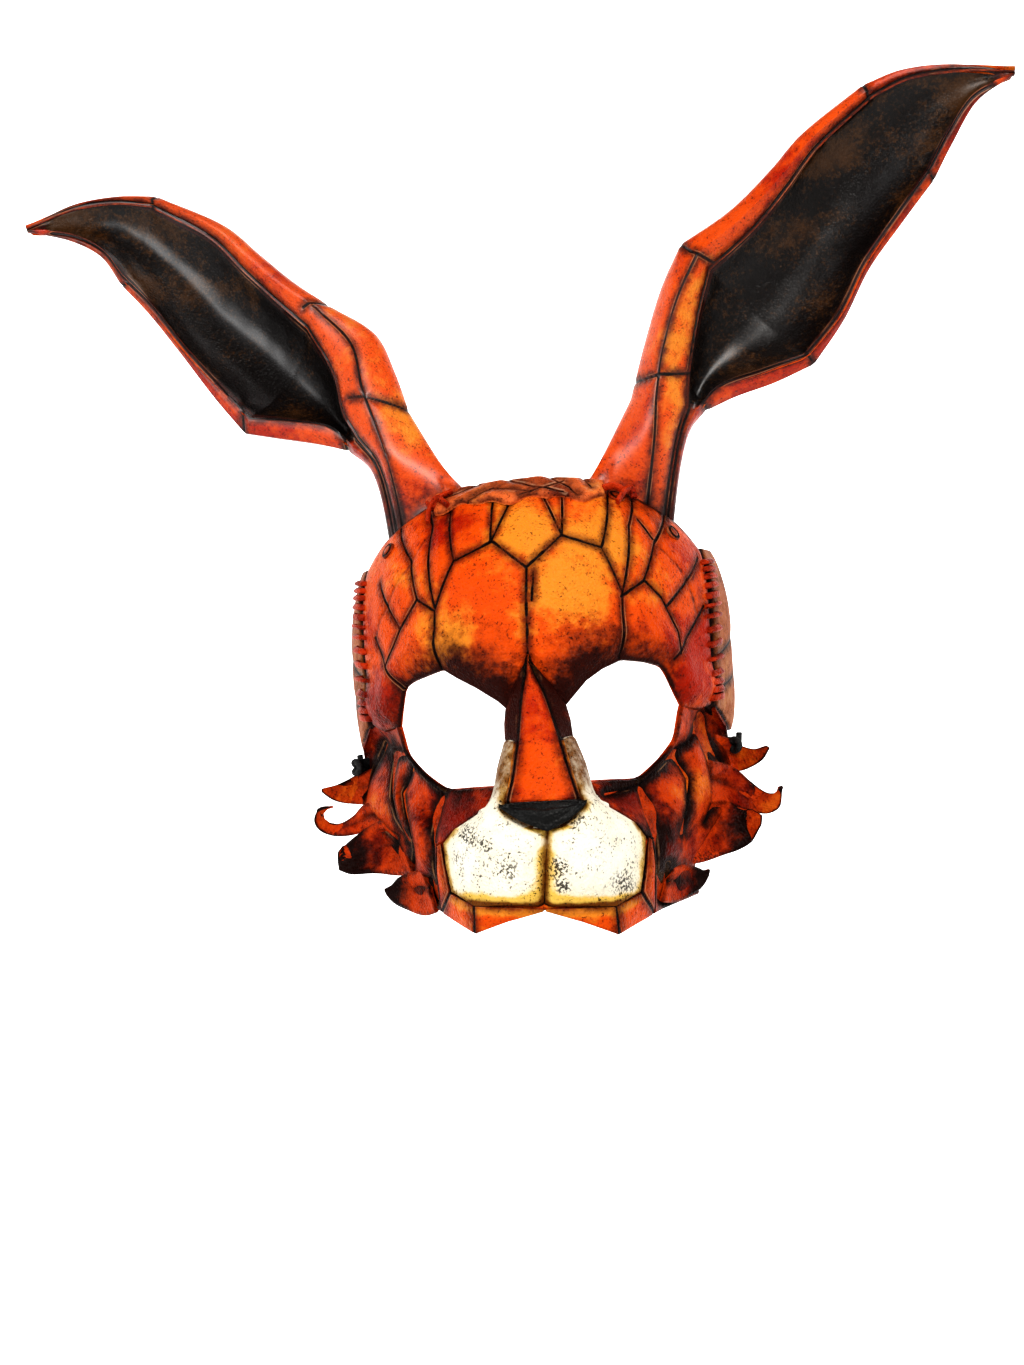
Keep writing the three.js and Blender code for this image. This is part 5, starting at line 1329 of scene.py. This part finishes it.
def placeCamera(spec):
    # turned by the yaw about the mask's upright axis, then by the roll about the line of sight
    yaw, roll = math.radians(spec["yaw"]), math.radians(spec["roll"])
    back = np.array([math.sin(yaw), -math.cos(yaw), 0])
    right, up = np.array([math.cos(yaw), math.sin(yaw), 0]), np.array([0, 0, 1])
    rolledRight = math.cos(roll) * right + math.sin(roll) * up
    rolledUp = -math.sin(roll) * right + math.cos(roll) * up
    data = bpy.data.cameras.new("camera")
    data.sensor_width = 36
    data.lens = 36 * spec["focal"] / spec["longSide"]
    data.clip_start, data.clip_end = 0.05, 50
    item = bpy.data.objects.new("camera", data)
    scene.collection.objects.link(item)
    centre = (np.array([spec["across"], 0, 0]) + back * spec["distance"]) * 0.001
    rows = np.eye(4)
    rows[:3, 0], rows[:3, 1], rows[:3, 2], rows[:3, 3] = rolledRight, rolledUp, back, centre
    item.matrix_world = Matrix(rows.tolist())
    scene.camera = item


placeCamera(camera)

studio = {
    "floor": -0.32, "flat": 1.0, "wall": 3.2, "height": 2.6,
    # name, place, size, watts, shade of white
    "lights": [
        ("keyLight", (0.6, -1.4, 1.1), 0.6, 22, (1, 0.98, 0.95)),
        ("fillLight", (-1.2, -1.2, 0.5), 0.5, 12, (1, 1, 1)),
        ("topLight", (0.2, 0.0, 1.5), 0.6, 4, (1, 1, 1)),
    ],
    "world": 0.05,
}


def studioPaper():
    # seamless background paper: matt and pale with a faint fibre
    paper = newMaterial("studio paper")
    place = addNode(paper, "ShaderNodeTexCoord", [], "Object")
    grain = addNode(paper, "ShaderNodeTexNoise", {"Vector": place, "Scale": 3.0}, "Fac")
    depth = addNode(paper, "ShaderNodeSeparateXYZ", [place], "Y")
    # painted shade: the paper in the half of the room behind the camera is coloured darker, standing in for a
    # dimmer room, so that dark leather stays dark
    near = addNode(paper, "ShaderNodeMapRange", [depth, -1.8, -0.4], interpolation_type="SMOOTHSTEP")
    colours = {0: near, 6: linear("aaaaaa"), 7: linear("f3f3f3")}
    colour = addNode(paper, "ShaderNodeMix", colours, 2, data_type="RGBA")
    fibre = addNode(paper, "ShaderNodeMapRange", [grain, 0.0, 1.0, 0.03, 0.0])
    colours = {0: fibre, 6: colour, 7: linear("000000")}
    colour = addNode(paper, "ShaderNodeMix", colours, 2, data_type="RGBA")
    # painted light: the paper glows as if it were a studio cove lit from below and behind, full white behind
    # the mask, dimmer in front of it
    paintedCoveLight = addNode(paper, "ShaderNodeMapRange", [depth, -0.2, 0.5, 0.0, 0.9],
                   interpolation_type="SMOOTHSTEP")
    shader = addNode(paper, "ShaderNodeBsdfPrincipled", {
        "Base Color": colour, "Roughness": 0.9, "Specular IOR Level": 0.1,
        "Emission Color": linear("ffffff"), "Emission Strength": paintedCoveLight,
    })
    addNode(paper, "ShaderNodeOutputMaterial", {"Surface": shader})
    return paper


def makeStudio(spec):
    # floor and wall in one sheet: flat in the middle, then curving up all round
    radius = np.concatenate([np.linspace(0.01, spec["flat"], 12), spec["flat"] + np.linspace(0.05, 1, 30) * (
        spec["wall"] - spec["flat"])])
    climb = np.clip((radius - spec["flat"]) / (spec["wall"] - spec["flat"]), 0, 1)
    height = spec["floor"] + spec["height"] * (1 - np.sqrt(np.clip(1 - climb ** 2.2, 0, 1)))
    angle = np.linspace(0, 2 * np.pi, 96, endpoint=False)
    rings = np.stack([
        radius[:, None] * np.cos(angle), radius[:, None] * np.sin(angle), height[:, None] + 0 * angle,
    ], -1)
    count, sides = rings.shape[:2]
    index = np.arange(count * sides).reshape(count, sides)
    around = np.roll(index, -1, axis=1)
    faces = np.stack([index[:-1].ravel(), around[:-1].ravel(), around[1:].ravel(), index[1:].ravel()], 1)
    mesh = bpy.data.meshes.new("studioFloor")
    mesh.from_pydata(rings.reshape(-1, 3).tolist(), [], faces[:, ::-1].tolist() + [index[0].tolist()])
    mesh.shade_smooth()
    mesh.materials.append(studioPaper())
    floor = bpy.data.objects.new("studioFloor", mesh)
    scene.collection.objects.link(floor)
    for name, place, size, watts, white in spec["lights"]:
        light = bpy.data.lights.new(name, "AREA")
        light.shape, light.size, light.energy, light.color = "DISK", size, watts, white
        item = bpy.data.objects.new(name, light)
        scene.collection.objects.link(item)
        away = np.array(place) - np.array([0, -0.05, 0.03])
        item.matrix_world = Matrix.Translation(place) @ directionMatrix(away)
    world = bpy.data.worlds.new("studio air")
    world.use_nodes = True
    world.node_tree.nodes["Background"].inputs["Color"].default_value = (1, 1, 1, 1)
    world.node_tree.nodes["Background"].inputs["Strength"].default_value = spec["world"]
    scene.world = world
    scene.view_settings.view_transform = "Standard"
    scene.view_settings.look = "High Contrast"


def directionMatrix(away):
    # turns a light so that it shines against the direction away
    away = away / np.linalg.norm(away)
    side = np.cross([0, 0, 1], away)
    side = side / np.linalg.norm(side)
    rows = np.eye(4)
    rows[:3, 0], rows[:3, 1], rows[:3, 2] = side, np.cross(away, side), away
    return Matrix(rows.tolist())


makeStudio(studio)
print("studio made")
